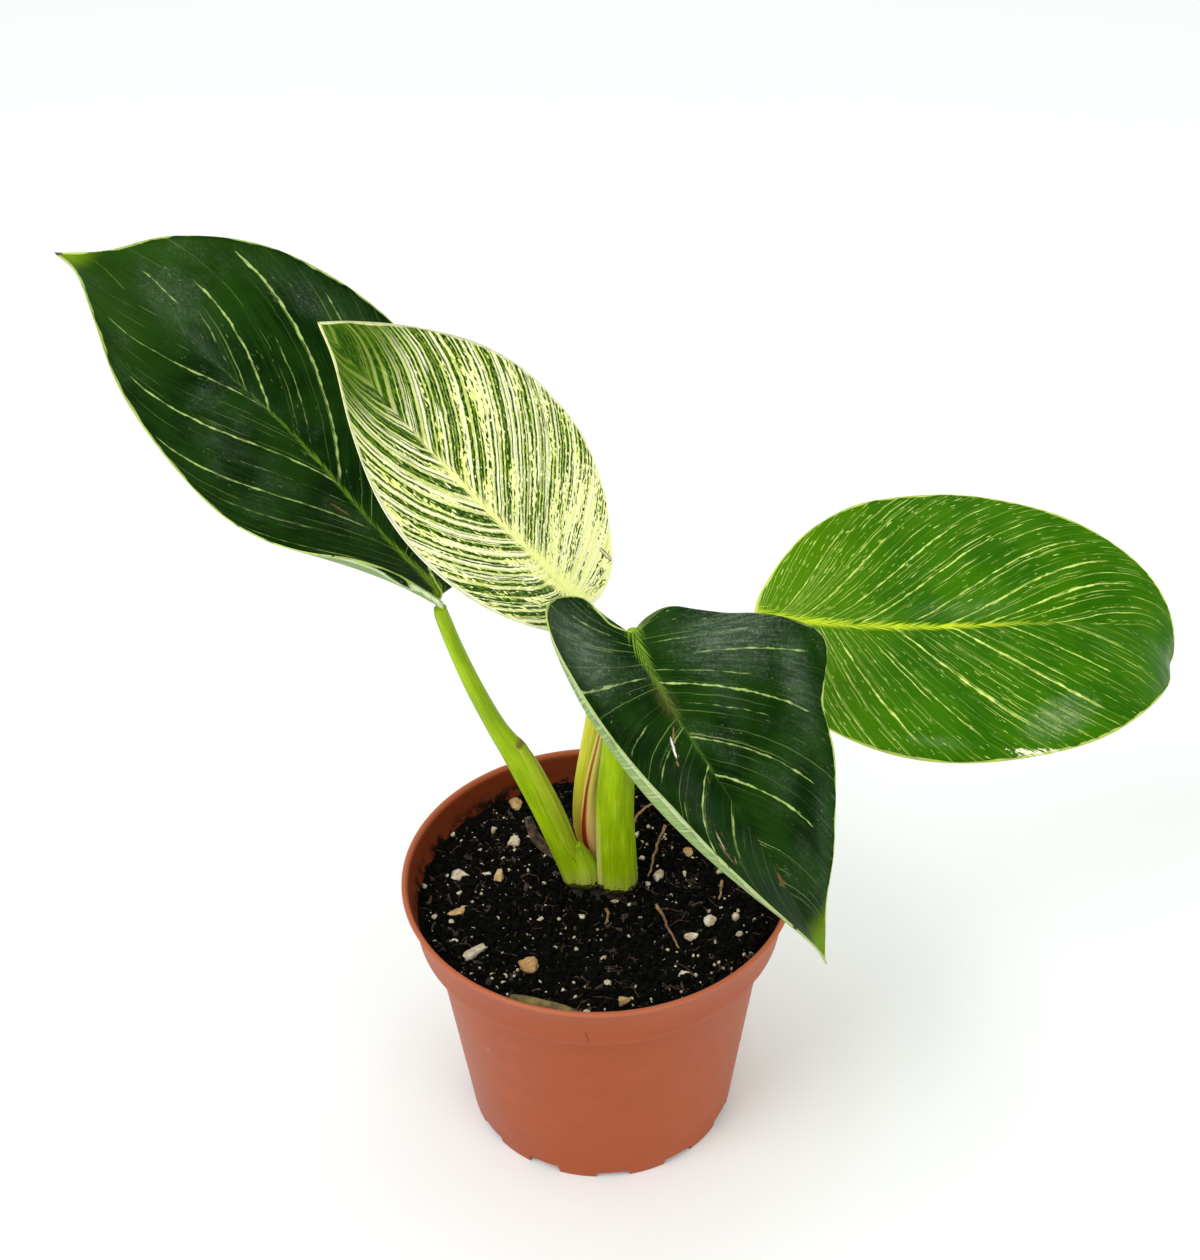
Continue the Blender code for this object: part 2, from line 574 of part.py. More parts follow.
def build():
    """Clear the scene and make every piece of the plant."""
    for obj in list(bpy.data.objects):
        bpy.data.objects.remove(obj, do_unlink=True)
    pot(material("pot_plastic", (0.46, 0.11, 0.045), 0.45))
    soil(material("peat", (0.012, 0.009, 0.007), 0.95))
    stem_base(material("stem_tissue", (0.32, 0.38, 0.07), 0.6))
    blade_colours = {"leaf_left": (0.012, 0.05, 0.012), "leaf_variegated": (0.42, 0.52, 0.16),
                     "leaf_front": (0.012, 0.045, 0.016), "leaf_right": (0.06, 0.21, 0.01)}
    for name, colour in blade_colours.items():
        leaf_blade(name, material(name + "_surface", colour, 0.4))
    petiole_green = material("petiole_green", (0.30, 0.48, 0.04), 0.4)
    petiole_pale = material("petiole_pale", (0.55, 0.60, 0.12), 0.4)
    for name, stations in PETIOLES.items():
        stalk(name, stations, petiole_pale if name == "petiole_centre" else petiole_green)
    stalk("new_leaf_sheath", SHEATHS["new_leaf_sheath"], material("sheath_pink", (0.58, 0.40, 0.24), 0.5))
    stalk("dried_sheath", SHEATHS["dried_sheath"], material("sheath_dried", (0.07, 0.05, 0.04), 0.8))
    stalk("cut_sheath", SHEATHS["cut_sheath"], petiole_green)
    root_brown = material("root_brown", (0.20, 0.12, 0.06), 0.8)
    for name, stations in ROOTS.items():
        root(name, stations, root_brown)
    finishes = {"grit": material("grit", (0.75, 0.68, 0.55), 0.9),
                "bark": material("bark", (0.50, 0.33, 0.16), 0.85)}
    for number, spec in enumerate(LUMPS):
        lump(f"{spec.kind}_{number + 1:02d}", spec, finishes[spec.kind])
    bark_curl(material("bark_curl_surface", (0.16, 0.13, 0.06), 0.8))


build()
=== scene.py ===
"""A potted philodendron dressed for its picture: blades, stalks, pot, soil, floor, light, camera."""
import inspect
import math
import random
from collections import namedtuple
from functools import cached_property

import bmesh
import bpy
import numpy as np
from mathutils import Matrix, Vector, noise


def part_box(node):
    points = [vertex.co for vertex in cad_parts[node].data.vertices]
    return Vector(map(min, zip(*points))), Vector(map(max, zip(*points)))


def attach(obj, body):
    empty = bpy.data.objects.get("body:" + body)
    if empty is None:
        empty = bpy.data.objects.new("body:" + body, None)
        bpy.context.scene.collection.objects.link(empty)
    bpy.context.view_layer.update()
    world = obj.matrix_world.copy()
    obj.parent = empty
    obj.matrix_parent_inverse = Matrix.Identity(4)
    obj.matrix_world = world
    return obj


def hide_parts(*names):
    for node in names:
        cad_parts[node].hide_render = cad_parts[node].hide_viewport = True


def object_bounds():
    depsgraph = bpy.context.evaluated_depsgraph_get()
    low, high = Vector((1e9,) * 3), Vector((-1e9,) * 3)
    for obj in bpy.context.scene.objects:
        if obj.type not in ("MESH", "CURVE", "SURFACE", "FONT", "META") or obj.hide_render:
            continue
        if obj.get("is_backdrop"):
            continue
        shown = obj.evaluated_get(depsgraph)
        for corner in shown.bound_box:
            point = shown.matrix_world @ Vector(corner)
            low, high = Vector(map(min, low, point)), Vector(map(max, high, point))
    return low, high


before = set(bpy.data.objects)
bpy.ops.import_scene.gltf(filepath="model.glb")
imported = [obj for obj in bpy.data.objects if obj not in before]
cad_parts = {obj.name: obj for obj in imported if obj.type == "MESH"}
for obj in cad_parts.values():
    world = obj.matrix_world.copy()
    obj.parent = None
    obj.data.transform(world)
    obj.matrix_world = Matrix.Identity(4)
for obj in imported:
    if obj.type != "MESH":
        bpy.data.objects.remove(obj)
cad_low, cad_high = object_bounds()

MM = 0.001
pot_low, pot_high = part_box("pot")
POT_AXIS = Vector(((pot_low[0] + pot_high[0]) / 2 / MM, (pot_low[1] + pot_high[1]) / 2 / MM, 0.0))
SOIL_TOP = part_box("soil")[1][2] / MM
POT_HEIGHT = pot_high[2] / MM


def paint(*screen):
    """A paint colour from its screen values, 0 to 255."""
    shares = (value / 255.0 for value in screen)
    return (*(share / 12.92 if share < 0.04 else ((share + 0.055) / 1.055) ** 2.4 for share in shares), 1.0)


# ---- node wiring ------------------------------------------------------------------------------
def arithmetic(operation, swapped=False):
    """A method that puts a Math node on the tree of the value it belongs to."""
    def run(self, *others):
        return self.board.sum(operation, *((*others, self) if swapped else (self, *others)))
    return run


class Wire:
    """A value on a node tree, which takes plain arithmetic."""

    __add__ = __radd__ = arithmetic("ADD")
    __mul__ = __rmul__ = arithmetic("MULTIPLY")
    __sub__, __rsub__ = arithmetic("SUBTRACT"), arithmetic("SUBTRACT", True)
    __truediv__, __rtruediv__ = arithmetic("DIVIDE"), arithmetic("DIVIDE", True)
    __abs__ = arithmetic("ABSOLUTE")
    root = arithmetic("SQRT")

    def __init__(self, board, socket):
        self.board, self.socket = board, socket

    def ramp(self, low, high, first=0.0, last=1.0):
        """first below low, last above high, and a smooth step between."""
        return self.board.value("ShaderNodeMapRange", {0: self, 1: low, 2: high, 3: first, 4: last},
                                interpolation_type="SMOOTHSTEP")

    def band(self, where, half, soft=0.1):
        """1 within half of a place, fading over soft at both ends."""
        return abs(self - where).ramp(half - soft, half, 1.0, 0.0)


class Board:
    """Puts nodes on a tree and wires them."""

    def __init__(self, tree):
        self.tree = tree

    def fill(self, node, inputs):
        for key, value in inputs.items():
            if isinstance(value, Wire):
                self.tree.links.new(value.socket, node.inputs[key])
            else:
                node.inputs[key].default_value = value
        return node

    def put(self, kind, inputs=None, **settings):
        node = self.tree.nodes.new(kind)
        for name, value in settings.items():
            setattr(node, name, value)
        return self.fill(node, inputs or {})

    def value(self, kind, inputs=None, out=0, **settings):
        """One output of a new node."""
        return Wire(self, self.put(kind, inputs, **settings).outputs[out])

    def sum(self, operation, *values):
        return self.value("ShaderNodeMath", dict(enumerate(values)), operation=operation)

    def mix(self, share, first, second):
        """Two colours mixed. A tuple of three is a paint's screen values."""
        first, second = (paint(*tint) if isinstance(tint, tuple) and len(tint) == 3 else tint
                         for tint in (first, second))
        return self.value("ShaderNodeMix", {0: share, 6: first, 7: second}, 2, data_type="RGBA")

    def coats(self, colour, *layers):
        """The colour with every layer, a share and a tint, laid over it in turn."""
        for share, tint in layers:
            colour = self.mix(share, colour, tint)
        return colour

    def either(self, held, *masks):
        for mask in masks:
            held = self.sum("MAXIMUM", held, mask)
        return held

    def point(self, x, y, z=0.0):
        return self.value("ShaderNodeCombineXYZ", {0: x, 1: y, 2: z})

    def split(self, value, kind="XYZ"):
        """The three parts of a vector or a colour."""
        return [Wire(self, part) for part in self.put("ShaderNodeSeparate" + kind, {0: value}).outputs]

    def cloud(self, where, scale, detail=2.0, rough=0.5):
        return self.value("ShaderNodeTexNoise", {"Vector": where, "Scale": scale, "Detail": detail,
                                                 "Roughness": rough})

    def cells(self, where, scale, across="Vector", **settings):
        """How far from the middle of its cell a place is, and the cell's own chance value."""
        made = self.put("ShaderNodeTexVoronoi", {across: where, "Scale": scale}, **settings).outputs
        return Wire(self, made["Distance"]), self.split(Wire(self, made["Color"]), "Color")[0]

    def group(self, tree, **inputs):
        """The outputs of a shader group: one value, or a list."""
        made = [Wire(self, part) for part in self.put("ShaderNodeGroup", inputs, node_tree=tree).outputs]
        return made[0] if len(made) == 1 else made


def shader_group(build):
    """A shader node group from a function: its arguments are the inputs, what it returns the outputs."""
    tree = bpy.data.node_groups.new(build.__name__, "ShaderNodeTree")
    inputs = list(inspect.signature(build).parameters.values())[1:]
    for entry in inputs:
        kind = "NodeSocketVector" if isinstance(entry.default, tuple) else "NodeSocketFloat"
        tree.interface.new_socket(entry.name, in_out="INPUT", socket_type=kind).default_value = entry.default
    board = Board(tree)
    given = board.put("NodeGroupInput").outputs
    masks = build(board, *(Wire(board, given[entry.name]) for entry in inputs))
    for label in masks:
        tree.interface.new_socket(label, in_out="OUTPUT", socket_type="NodeSocketFloat")
    board.put("NodeGroupOutput", masks)
    return tree


@shader_group
def vein_streaks(b, spread=0.0, run=0.0, width=1.0, length=10.0, level=0.6, softness=0.05, seed=0.0):
    """Broken streaks that follow the veins: level sets how much is covered."""
    grain = b.cloud(b.point(spread / width + seed, run / length + seed, seed), 1.0, 1.0, 0.4)
    return {"mask": grain.ramp(level, level + softness)}


@shader_group
def vein_lines(b, spread=0.0, spacing=5.0, width=0.6, seed=0.0):
    """Thin lines along the veins at uneven spacing, each with a chance value of its own."""
    away, chance = b.cells(spread / spacing + seed, 1.0, "W", voronoi_dimensions="1D")
    return {"mask": (away * spacing).ramp(width * 0.2, width * 0.5, 1.0, 0.0), "chance": chance}


@shader_group
def pale_stripe(b, spread=0.0, reach=0.0, wobble=0.0, swell=1.0, where=0.0, width=1.0, start=0.0, stop=1.0):
    """One strong stripe on a vein, from start to stop of the way to the margin, tapered at its ends."""
    away = abs(spread - where + wobble)
    taper = reach.ramp(start, start + 0.08) * reach.ramp(stop - 0.12, stop, 1.0, 0.0) * width * swell
    half = taper * 0.5
    return {"mask": away.ramp(half - 0.22, half + 0.12, 1.0, 0.0) * taper.ramp(0.05, 0.35)}


@shader_group
def blade_margin(b, rim=0.0, width=1.0, flat=(0.0, 0.0, 0.0)):
    """The pale, slightly ragged margin of a blade."""
    limit = width * b.cloud(flat, 0.12, 2.0, 0.5).ramp(0.3, 0.7, 0.6, 1.3)
    return {"mask": rim.ramp(limit * 0.55, limit, 1.0, 0.0)}


@shader_group
def haze_patches(b, flat=(0.0, 0.0, 0.0), size=20.0, level=0.55, seed=0.0):
    """Soft patches of dust and painted sheen, with fine scratches in them."""
    scaled = b.value("ShaderNodeVectorMath", {0: flat, 3: 1.0 / size}, operation="SCALE")
    moved = b.value("ShaderNodeVectorMath", {0: scaled, 1: b.point(seed, seed)}, operation="ADD")
    soft = b.cloud(moved, 1.0, 3.0, 0.55).ramp(level, level + 0.18)
    return {"mask": soft * b.cloud(moved, 14.0, 4.0, 0.75).ramp(0.38, 0.68, 0.35, 1.0)}


class Finish(Board):
    """A new procedural material and its board."""

    def __init__(self, name):
        self.material = bpy.data.materials.new(name)
        self.material.use_nodes = True
        super().__init__(self.material.node_tree)

    def place(self):
        return self.value("ShaderNodeTexCoord", out="Object")

    def bump(self, height, distance, strength=1.0, **under):
        return self.value("ShaderNodeBump",
                          {"Height": height, "Distance": distance, "Strength": strength, **under})

    def feed(self, **inputs):
        """Link or set the Principled sockets, with words joined by an underscore, and give the material."""
        self.fill(self.tree.nodes["Principled BSDF"],
                  {key.replace("_", " "): value for key, value in inputs.items()})
        return self.material


# ---- curves and meshes ------------------------------------------------------------------------
def through(stations, steps):
    """Points of a Catmull-Rom curve through the stations, as an array."""
    held = np.array(stations, float)
    held = np.vstack([2 * held[0] - held[1], held, 2 * held[-1] - held[-2]])
    where = np.linspace(0, len(stations) - 1, steps + 1)
    k = np.minimum(where.astype(int), len(stations) - 2)
    f = (where - k)[:, None]
    a, b, c, d = held[k], held[k + 1], held[k + 2], held[k + 3]
    return 0.5 * (2 * b + (c - a) * f + (2 * a - 5 * b + 4 * c - d) * f ** 2
                  + (3 * b - a - 3 * c + d) * f ** 3)


def bezier(a, b, c, d, t):
    return (1 - t) ** 3 * a + 3 * t * (1 - t) ** 2 * b + 3 * t * t * (1 - t) * c + t ** 3 * d


def unit(vectors):
    return vectors / np.maximum(np.linalg.norm(vectors, axis=-1, keepdims=True), 1e-12)


def run_along(points):
    """The distance run along a line of points, from 0."""
    return np.concatenate([[0], np.cumsum(np.linalg.norm(np.diff(points, axis=0), axis=1))])


def at_three(values, q):
    """The value at q between the petiole, the middle and the tip."""
    base, middle, tip = values
    return base * (1 - q) * (1 - 2 * q) + middle * 4 * q * (1 - q) + tip * q * (2 * q - 1)


def circle(count):
    return np.linspace(0, 2 * np.pi, count, endpoint=False)


def closed_skin(rings, sides):
    """Faces of a closed skin: one point, then rings of points, then one point."""
    last = 1 + rings * sides
    faces = []
    for k in range(sides):
        after = (k + 1) % sides
        faces.append((0, 1 + k, 1 + after))
        for low in range(1, last - sides, sides):
            high = low + sides
            faces.append((low + k, high + k, high + after, low + after))
        faces.append((last - sides + k, last, last - sides + after))
    return faces


def place_object(name, data):
    """An object at the origin, in the scene."""
    obj = bpy.data.objects.new(name, data)
    bpy.context.scene.collection.objects.link(obj)
    return obj


def raw_mesh(name, points, faces):
    """A mesh from points in mm off the pot's axis."""
    mesh = bpy.data.meshes.new(name)
    mesh.from_pydata(((np.array(points, float) + np.array(POT_AXIS)) * MM).tolist(), [], faces)
    return mesh


def turn_out(mesh, recalculate=True):
    """Turn a closed mesh's faces outwards."""
    shape = bmesh.new()
    shape.from_mesh(mesh)
    if recalculate:
        bmesh.ops.recalc_face_normals(shape, faces=shape.faces)
    inside_out = shape.calc_volume(signed=True) < 0
    if inside_out:
        bmesh.ops.reverse_faces(shape, faces=shape.faces)
    if inside_out or recalculate:
        shape.to_mesh(mesh)
    shape.free()


def link_mesh(name, points, faces, finish, smooth=True):
    """A piece from points in mm off the pot's axis, with its faces turned outwards."""
    mesh = raw_mesh(name, points, faces)
    turn_out(mesh)
    if smooth:
        mesh.shade_smooth()
    mesh.materials.append(finish)
    return place_object(name, mesh)


def baked(obj):
    """Apply every modifier of an object to a plain mesh."""
    made = bpy.data.meshes.new_from_object(obj.evaluated_get(bpy.context.evaluated_depsgraph_get()))
    obj.modifiers.clear()
    obj.data = made
    return obj


# ---- blades -----------------------------------------------------------------------------------
# Half outlines from the petiole round to the tip: along the midrib / length, across / half width.
LOBED = ((0.0, 0.0), (-0.045, 0.16), (-0.06, 0.38), (-0.02, 0.62), (0.10, 0.86), (0.28, 0.99),
         (0.46, 0.97), (0.64, 0.76), (0.80, 0.46), (0.92, 0.17), (1.0, 0.0))
PLAIN = ((0.0, 0.0), (0.0, 0.13), (0.02, 0.30), (0.06, 0.53), (0.14, 0.78), (0.28, 0.96),
         (0.46, 0.99), (0.64, 0.82), (0.80, 0.52), (0.92, 0.21), (1.0, 0.0))

# Veins of a half: how late they leave the midrib, then how far, in degrees, they lean off the
# straight line to the margin as they leave and as they arrive, each with its change towards the tip.
Veins = namedtuple("Veins", "lean leave leave_tip arrive arrive_tip")
# A half's hem: vein number, how many mm of margin turn over there, and how far each mm turns, in
# degrees, up if positive.
Half = namedtuple("Half", "width fold curl outline changes veins hem")
NO_HEM = ((0.0, 0.3, 0.0), (1.0, 0.3, 0.0))
Blade = namedtuple("Blade", "midrib twist wander left right")

BLADES = {
    "left": Blade(
        ((-43, 6, 188), (-68, 37, 192), (-90, 54, 246), (-154.2, 82, 260.3)), (-13, 4),
        ((0, 0), (6, 4.0), (15, 3.0), (30, 0.3), (60, -1.2), (90, -3.2), (110, -2.6), (156, 0)),
        Half(46, (24, -19, 39), (11, 14, 2), LOBED,
             {2: (0.06, 0.01), 3: (0.04, 0.0), 6: (-0.01, -0.03), 7: (0.03, 0.02), 8: (0.01, 0.03),
              9: (0.01, -0.02)},
             Veins(4.9, 5, 0, 41, 0),
             ((0.0, 1.0, 6.0), (0.1, 4.5, 11.0), (0.22, 5.5, 11.0), (0.33, 3.5, 11.0), (0.45, 0.4, 8.0),
              (1.0, 0.3, 2.0))),
        Half(44, (-9, 19, 16), (1, 5, 1), PLAIN,
             {1: (0.02, -0.05), 2: (0.07, -0.12), 3: (0.07, -0.07), 5: (0.02, 0.01), 6: (-0.02, 0.07),
              7: (0.035, 0.025), 8: (0.035, -0.014), 9: (0.0, -0.03)},
             Veins(4.5, 16, 0, 16, 0), NO_HEM)),
    "variegated": Blade(
        ((-3, 18, 178), (-23, 6, 209), (-54, 14, 249), (-68.9, 8, 273.6)), (13, 44),
        ((0, 0), (25, 0), (55, -1.3), (85, -1.3), (118, 0)),
        Half(38, (32, 8, 18), (9, 0, -1), LOBED,
             {1: (0.03, 0.0), 2: (0.04, -0.02), 3: (0.02, 0.0), 4: (0.0, 0.02), 5: (0.02, 0.06),
              6: (0.01, 0.0), 7: (0.0, 0.02), 9: (0.0, -0.03)},
             Veins(4.3, 20, 10, 26, 10), NO_HEM),
        Half(40, (20, 16, 22), (9, 3, 5), LOBED,
             {1: (-0.015, 0.0), 2: (-0.012, 0.0), 3: (-0.005, -0.02), 4: (-0.02, -0.02), 5: (-0.02, 0.02),
              6: (0.01, 0.01), 7: (0.01, 0.04), 8: (0.01, 0.035), 9: (0.01, 0.03)},
             Veins(3.6, 19, 0, 30, -15), NO_HEM)),
    "front": Blade(
        ((11, -14, 190), (15, -33, 183), (48, -60, 150), (61, -68, 119)), (-2, 26),
        ((0, 0), (105, 0)),
        Half(47, (2, 9, 9), (16, 2, -6), LOBED,
             {1: (-0.026, 0.069), 2: (0.014, 0.027), 3: (0.037, 0.0), 4: (0.055, 0.061), 5: (0.003, 0.082),
              6: (-0.011, -0.065), 7: (-0.031, 0.078), 8: (-0.006, 0.092), 9: (-0.023, 0.07)},
             Veins(4.2, 18, 0, 16, 0),
             ((0.0, 0.5, -8.0), (0.1, 2.6, -16.0), (0.3, 3.0, -16.0), (0.37, 4.5, -16.0),
              (0.44, 3.0, -14.0), (0.5, 0.6, -8.0), (1.0, 0.3, 0.0))),
        Half(47, (9, -4, 35), (21, 24, 18), LOBED,
             {1: (0.023, -0.015), 2: (-0.018, -0.067), 3: (-0.01, 0.006), 4: (-0.032, 0.018),
              5: (-0.088, -0.004), 6: (-0.031, 0.004), 8: (0.0, 0.028), 9: (0.051, -0.022)},
             Veins(2.8, 8, 0, 3, 3),
             ((0.0, 0.3, 6.0), (0.32, 1.5, 8.0), (0.45, 4.5, 8.5), (0.6, 6.5, 8.5), (0.72, 4.5, 8.5),
              (0.85, 2.0, 8.0), (1.0, 0.4, 4.0)))),
    "right": Blade(
        ((48, 32, 163), (100, 22, 154), (162, 29, 175), (178, 41, 135)), (4, -27),
        ((0, 0), (20, -1.0), (60, 0), (142, 0)),
        Half(48, (1, 16, 16), (22, -3, -4), PLAIN,
             {2: (-0.01, 0.011), 3: (-0.015, 0.046), 4: (-0.028, 0.013), 5: (-0.034, 0.008),
              6: (0.003, 0.005), 7: (0.015, 0.0), 8: (0.0, 0.033), 9: (0.06, -0.08)},
             Veins(5.0, 4, 0, 22, 8), NO_HEM),
        Half(49, (-2, -3, 10), (4, -4, -4), LOBED,
             {3: (0.01, 0.02), 4: (0.006, 0.018), 5: (-0.017, 0.019), 6: (-0.016, 0.008), 7: (0.016, 0.06),
              8: (0.028, 0.064), 9: (0.07, -0.03)},
             Veins(3.2, 4, 0, 14, 0), NO_HEM)),
}
BLADE_ROWS = 150
BLADE_COLUMNS = 34
EDGE_THICKNESS = 0.40
MIDDLE_THICKNESS = 0.75
RIM_BULGE = 0.2
FOLD_SOFTNESS = 1.2
PETIOLE_SOFTNESS = 3.5
ROW_LEAN = 4.5
ROW_SHARE = 0.02
VEIN_PULL = 0.36


def crowded(vein, lean):
    """Where veins leave the midrib, 0 to 1: crowded towards the petiole."""
    return (1 - ROW_SHARE) * vein ** lean + ROW_SHARE * vein


class Surface:
    """The curved sheet of a blade over its flat pattern: x along the midrib, y across, in mm."""

    def __init__(self, blade):
        a, b, c, d = (np.array(p, float) for p in blade.midrib)
        t = np.linspace(0, 1, 801)[:, None]
        self.path = bezier(a, b, c, d, t)
        self.run = run_along(self.path)
        self.length = self.run[-1]
        self.along = unit((1 - t) ** 2 * (b - a) + 2 * t * (1 - t) * (c - b) + t * t * (d - c))
        level = unit(np.cross(d - a, (0, 0, 1)))
        across = unit(level - (self.along @ level)[:, None] * self.along)
        upper = np.cross(across, self.along)
        turn = np.radians(blade.twist[0] + (blade.twist[1] - blade.twist[0]) * self.run / self.length)
        turn = turn[:, None]
        self.across = np.cos(turn) * across + np.sin(turn) * upper
        self.upper = np.cos(turn) * upper - np.sin(turn) * across
        self.halves = {-1: blade.left, 1: blade.right}
        self.stops = np.array(blade.wander, float)

    def spread_out(self, values, x):
        return np.stack([np.interp(x, self.run, values[:, k]) for k in range(3)], -1)

    def wander(self, x):
        """How far the midrib line strays across the flat pattern."""
        return np.interp(x, self.stops[:, 0], self.stops[:, 1])

    def at(self, x, y):
        inside = np.clip(0.5 * (x + np.sqrt(x * x + PETIOLE_SOFTNESS ** 2)), 0, self.length)
        point = self.spread_out(self.path, inside)
        point = point + np.minimum(x - inside, 0)[..., None] * self.spread_out(self.along, inside)
        q = np.clip(x / self.length, -0.08, 1.0)
        away = np.abs(y)
        eased = np.sqrt(away ** 2 + FOLD_SOFTNESS ** 2) - FOLD_SOFTNESS
        out, lift = np.zeros_like(away), np.zeros_like(away)
        for side, half in self.halves.items():
            here = (y < 0) if side < 0 else (y >= 0)
            fold = np.radians(at_three(half.fold, q))
            curl = at_three(half.curl, q) / 1000.0
            curl = np.where(np.abs(curl) < 1e-5, 1e-5, curl)
            out = np.where(here, side * (np.sin(fold + curl * away) - np.sin(fold)) / curl, out)
            lift = np.where(here, (np.cos(fold) - np.cos(fold + curl * eased)) / curl, lift)
        return (point + out[..., None] * self.spread_out(self.across, inside)
                + lift[..., None] * self.spread_out(self.upper, inside))

    def normal(self, x, y, step=0.6):
        forward = self.at(x + step, y) - self.at(x - step, y)
        sideways = self.at(x, y + step) - self.at(x, y - step)
        return unit(np.cross(sideways, forward))

    def outline(self, side):
        half = self.halves[side]
        points = [list(point) for point in half.outline]
        for k, (along, across) in half.changes.items():
            points[k] = [points[k][0] + along, points[k][1] + across]
        held = through(points, 400)
        return held[:, 0] * self.length, np.maximum(held[:, 1], 0.0) * half.width

    def vein_starts(self, side, starts):
        """Which vein leaves the midrib at each start: 0 at the petiole, 1 at the tip."""
        table = np.linspace(0, 1, 2001)
        return np.interp(starts, crowded(table, self.halves[side].veins.lean), table)

    def vein_curves(self, side, vein, reach):
        """Flat places along each vein, for parts of its reach from the midrib to the margin."""
        lean, leave, leave_tip, arrive, arrive_tip = self.halves[side].veins
        x_edge, y_edge = self.outline(side)
        steps = np.linspace(0, 1, len(x_edge))
        end = np.stack([np.interp(vein, steps, x_edge), np.interp(vein, steps, y_edge)], -1)
        x = crowded(vein, lean) * self.length
        start = np.stack([x, side * self.wander(x)], -1)
        chord = end - start

        def turned(angle):
            c, s = np.cos(angle), np.sin(angle)
            return np.stack([chord[:, 0] * c - chord[:, 1] * s, chord[:, 0] * s + chord[:, 1] * c], -1)

        first = start + VEIN_PULL * turned(np.radians(leave + leave_tip * (vein - 0.7)))
        second = end - VEIN_PULL * turned(-np.radians(arrive + arrive_tip * (vein - 0.7)))
        flat = bezier(start[:, None], first[:, None], second[:, None], end[:, None], reach[None, :, None])
        return flat[..., 0], side * flat[..., 1]

    def vein_spread(self, side):
        """A table from vein number to its distance in mm across the veins at half reach."""
        veins = np.linspace(0.02, 1, 400)
        x, y = self.vein_curves(side, veins, np.array([0.45, 0.55]))
        middle = np.stack([x.mean(1), y.mean(1)], -1)
        along = unit(np.stack([x[:, 1] - x[:, 0], y[:, 1] - y[:, 0]], -1))
        step = np.diff(middle, axis=0)
        gap = np.abs(step[:, 0] * along[1:, 1] - step[:, 1] * along[1:, 0])
        return veins, 6.0 + np.concatenate([[0], np.cumsum(gap)])

    def from_edge(self, x, y):
        """Flat distance in mm from each place to the nearest margin."""
        edges = [np.stack(self.outline(side), -1) * (1, side) for side in self.halves]
        line = np.vstack([edge[4:] for edge in edges])
        places = np.stack([x.ravel(), y.ravel()], -1)
        best = np.full(len(places), 1e9)
        for some in np.array_split(line, 20):
            best = np.minimum(best, np.linalg.norm(places[:, None] - some[None], axis=-1).min(1))
        return best.reshape(x.shape)

    def hem(self, side, vein, points, normals):
        """Turn a half's margin up or down; every row runs from the midrib to the margin."""
        stops = np.array(self.halves[side].hem, float)
        wide = np.interp(vein, stops[:, 0], stops[:, 1])
        rate = np.radians(np.interp(vein, stops[:, 0], stops[:, 2]))
        steps = np.diff(points, axis=1)
        sizes = np.linalg.norm(steps, axis=2)
        run = np.hstack([np.zeros((len(vein), 1)), sizes.cumsum(1)])
        start = np.maximum(run[:, -1] - wide, 0.5 * run[:, -1])
        past = np.maximum(run - start[:, None], 0.0)
        turn = rate[:, None] * past ** 2 / (past + 1.0)
        middle = ((turn[:, 1:] + turn[:, :-1]) / 2)[..., None]
        way = unit(steps)
        up = unit(normals[:, 1:] + normals[:, :-1])
        up = unit(up - (up * way).sum(-1, keepdims=True) * way)
        bent = (np.cos(middle) * way + np.sin(middle) * up) * sizes[..., None]
        placed = points[:, :1] + np.concatenate([np.zeros_like(bent[:, :1]), bent.cumsum(1)], axis=1)
        forward = np.concatenate([way[:, :1], way], axis=1)
        return placed, unit(np.cos(turn)[..., None] * normals - np.sin(turn)[..., None] * forward)

    def measures(self, side, first, reach):
        """The flat x and y of a half's grid, and its three attributes of three values each."""
        vein = self.vein_starts(side, crowded(first, ROW_LEAN))
        x, y = self.vein_curves(side, vein, reach)
        x[0], y[0] = 0.0, self.wander(0.0)
        x[-1], y[-1] = self.length, 0.0
        ones = np.ones_like(x)
        spread = side * np.interp(vein, *self.vein_spread(side))[:, None] * ones
        run = np.hypot(np.diff(x, axis=1), np.diff(y, axis=1)).cumsum(1)
        run = np.hstack([np.zeros((len(x), 1)), run])
        off_midrib = y - self.wander(np.clip(x, 0, self.length))
        return {"place": (x, y), "vein": (vein[:, None] * ones, reach[None] * ones, spread),
                "flat": (x, off_midrib, self.from_edge(x, y)), "weave": (run, y, side * ones)}


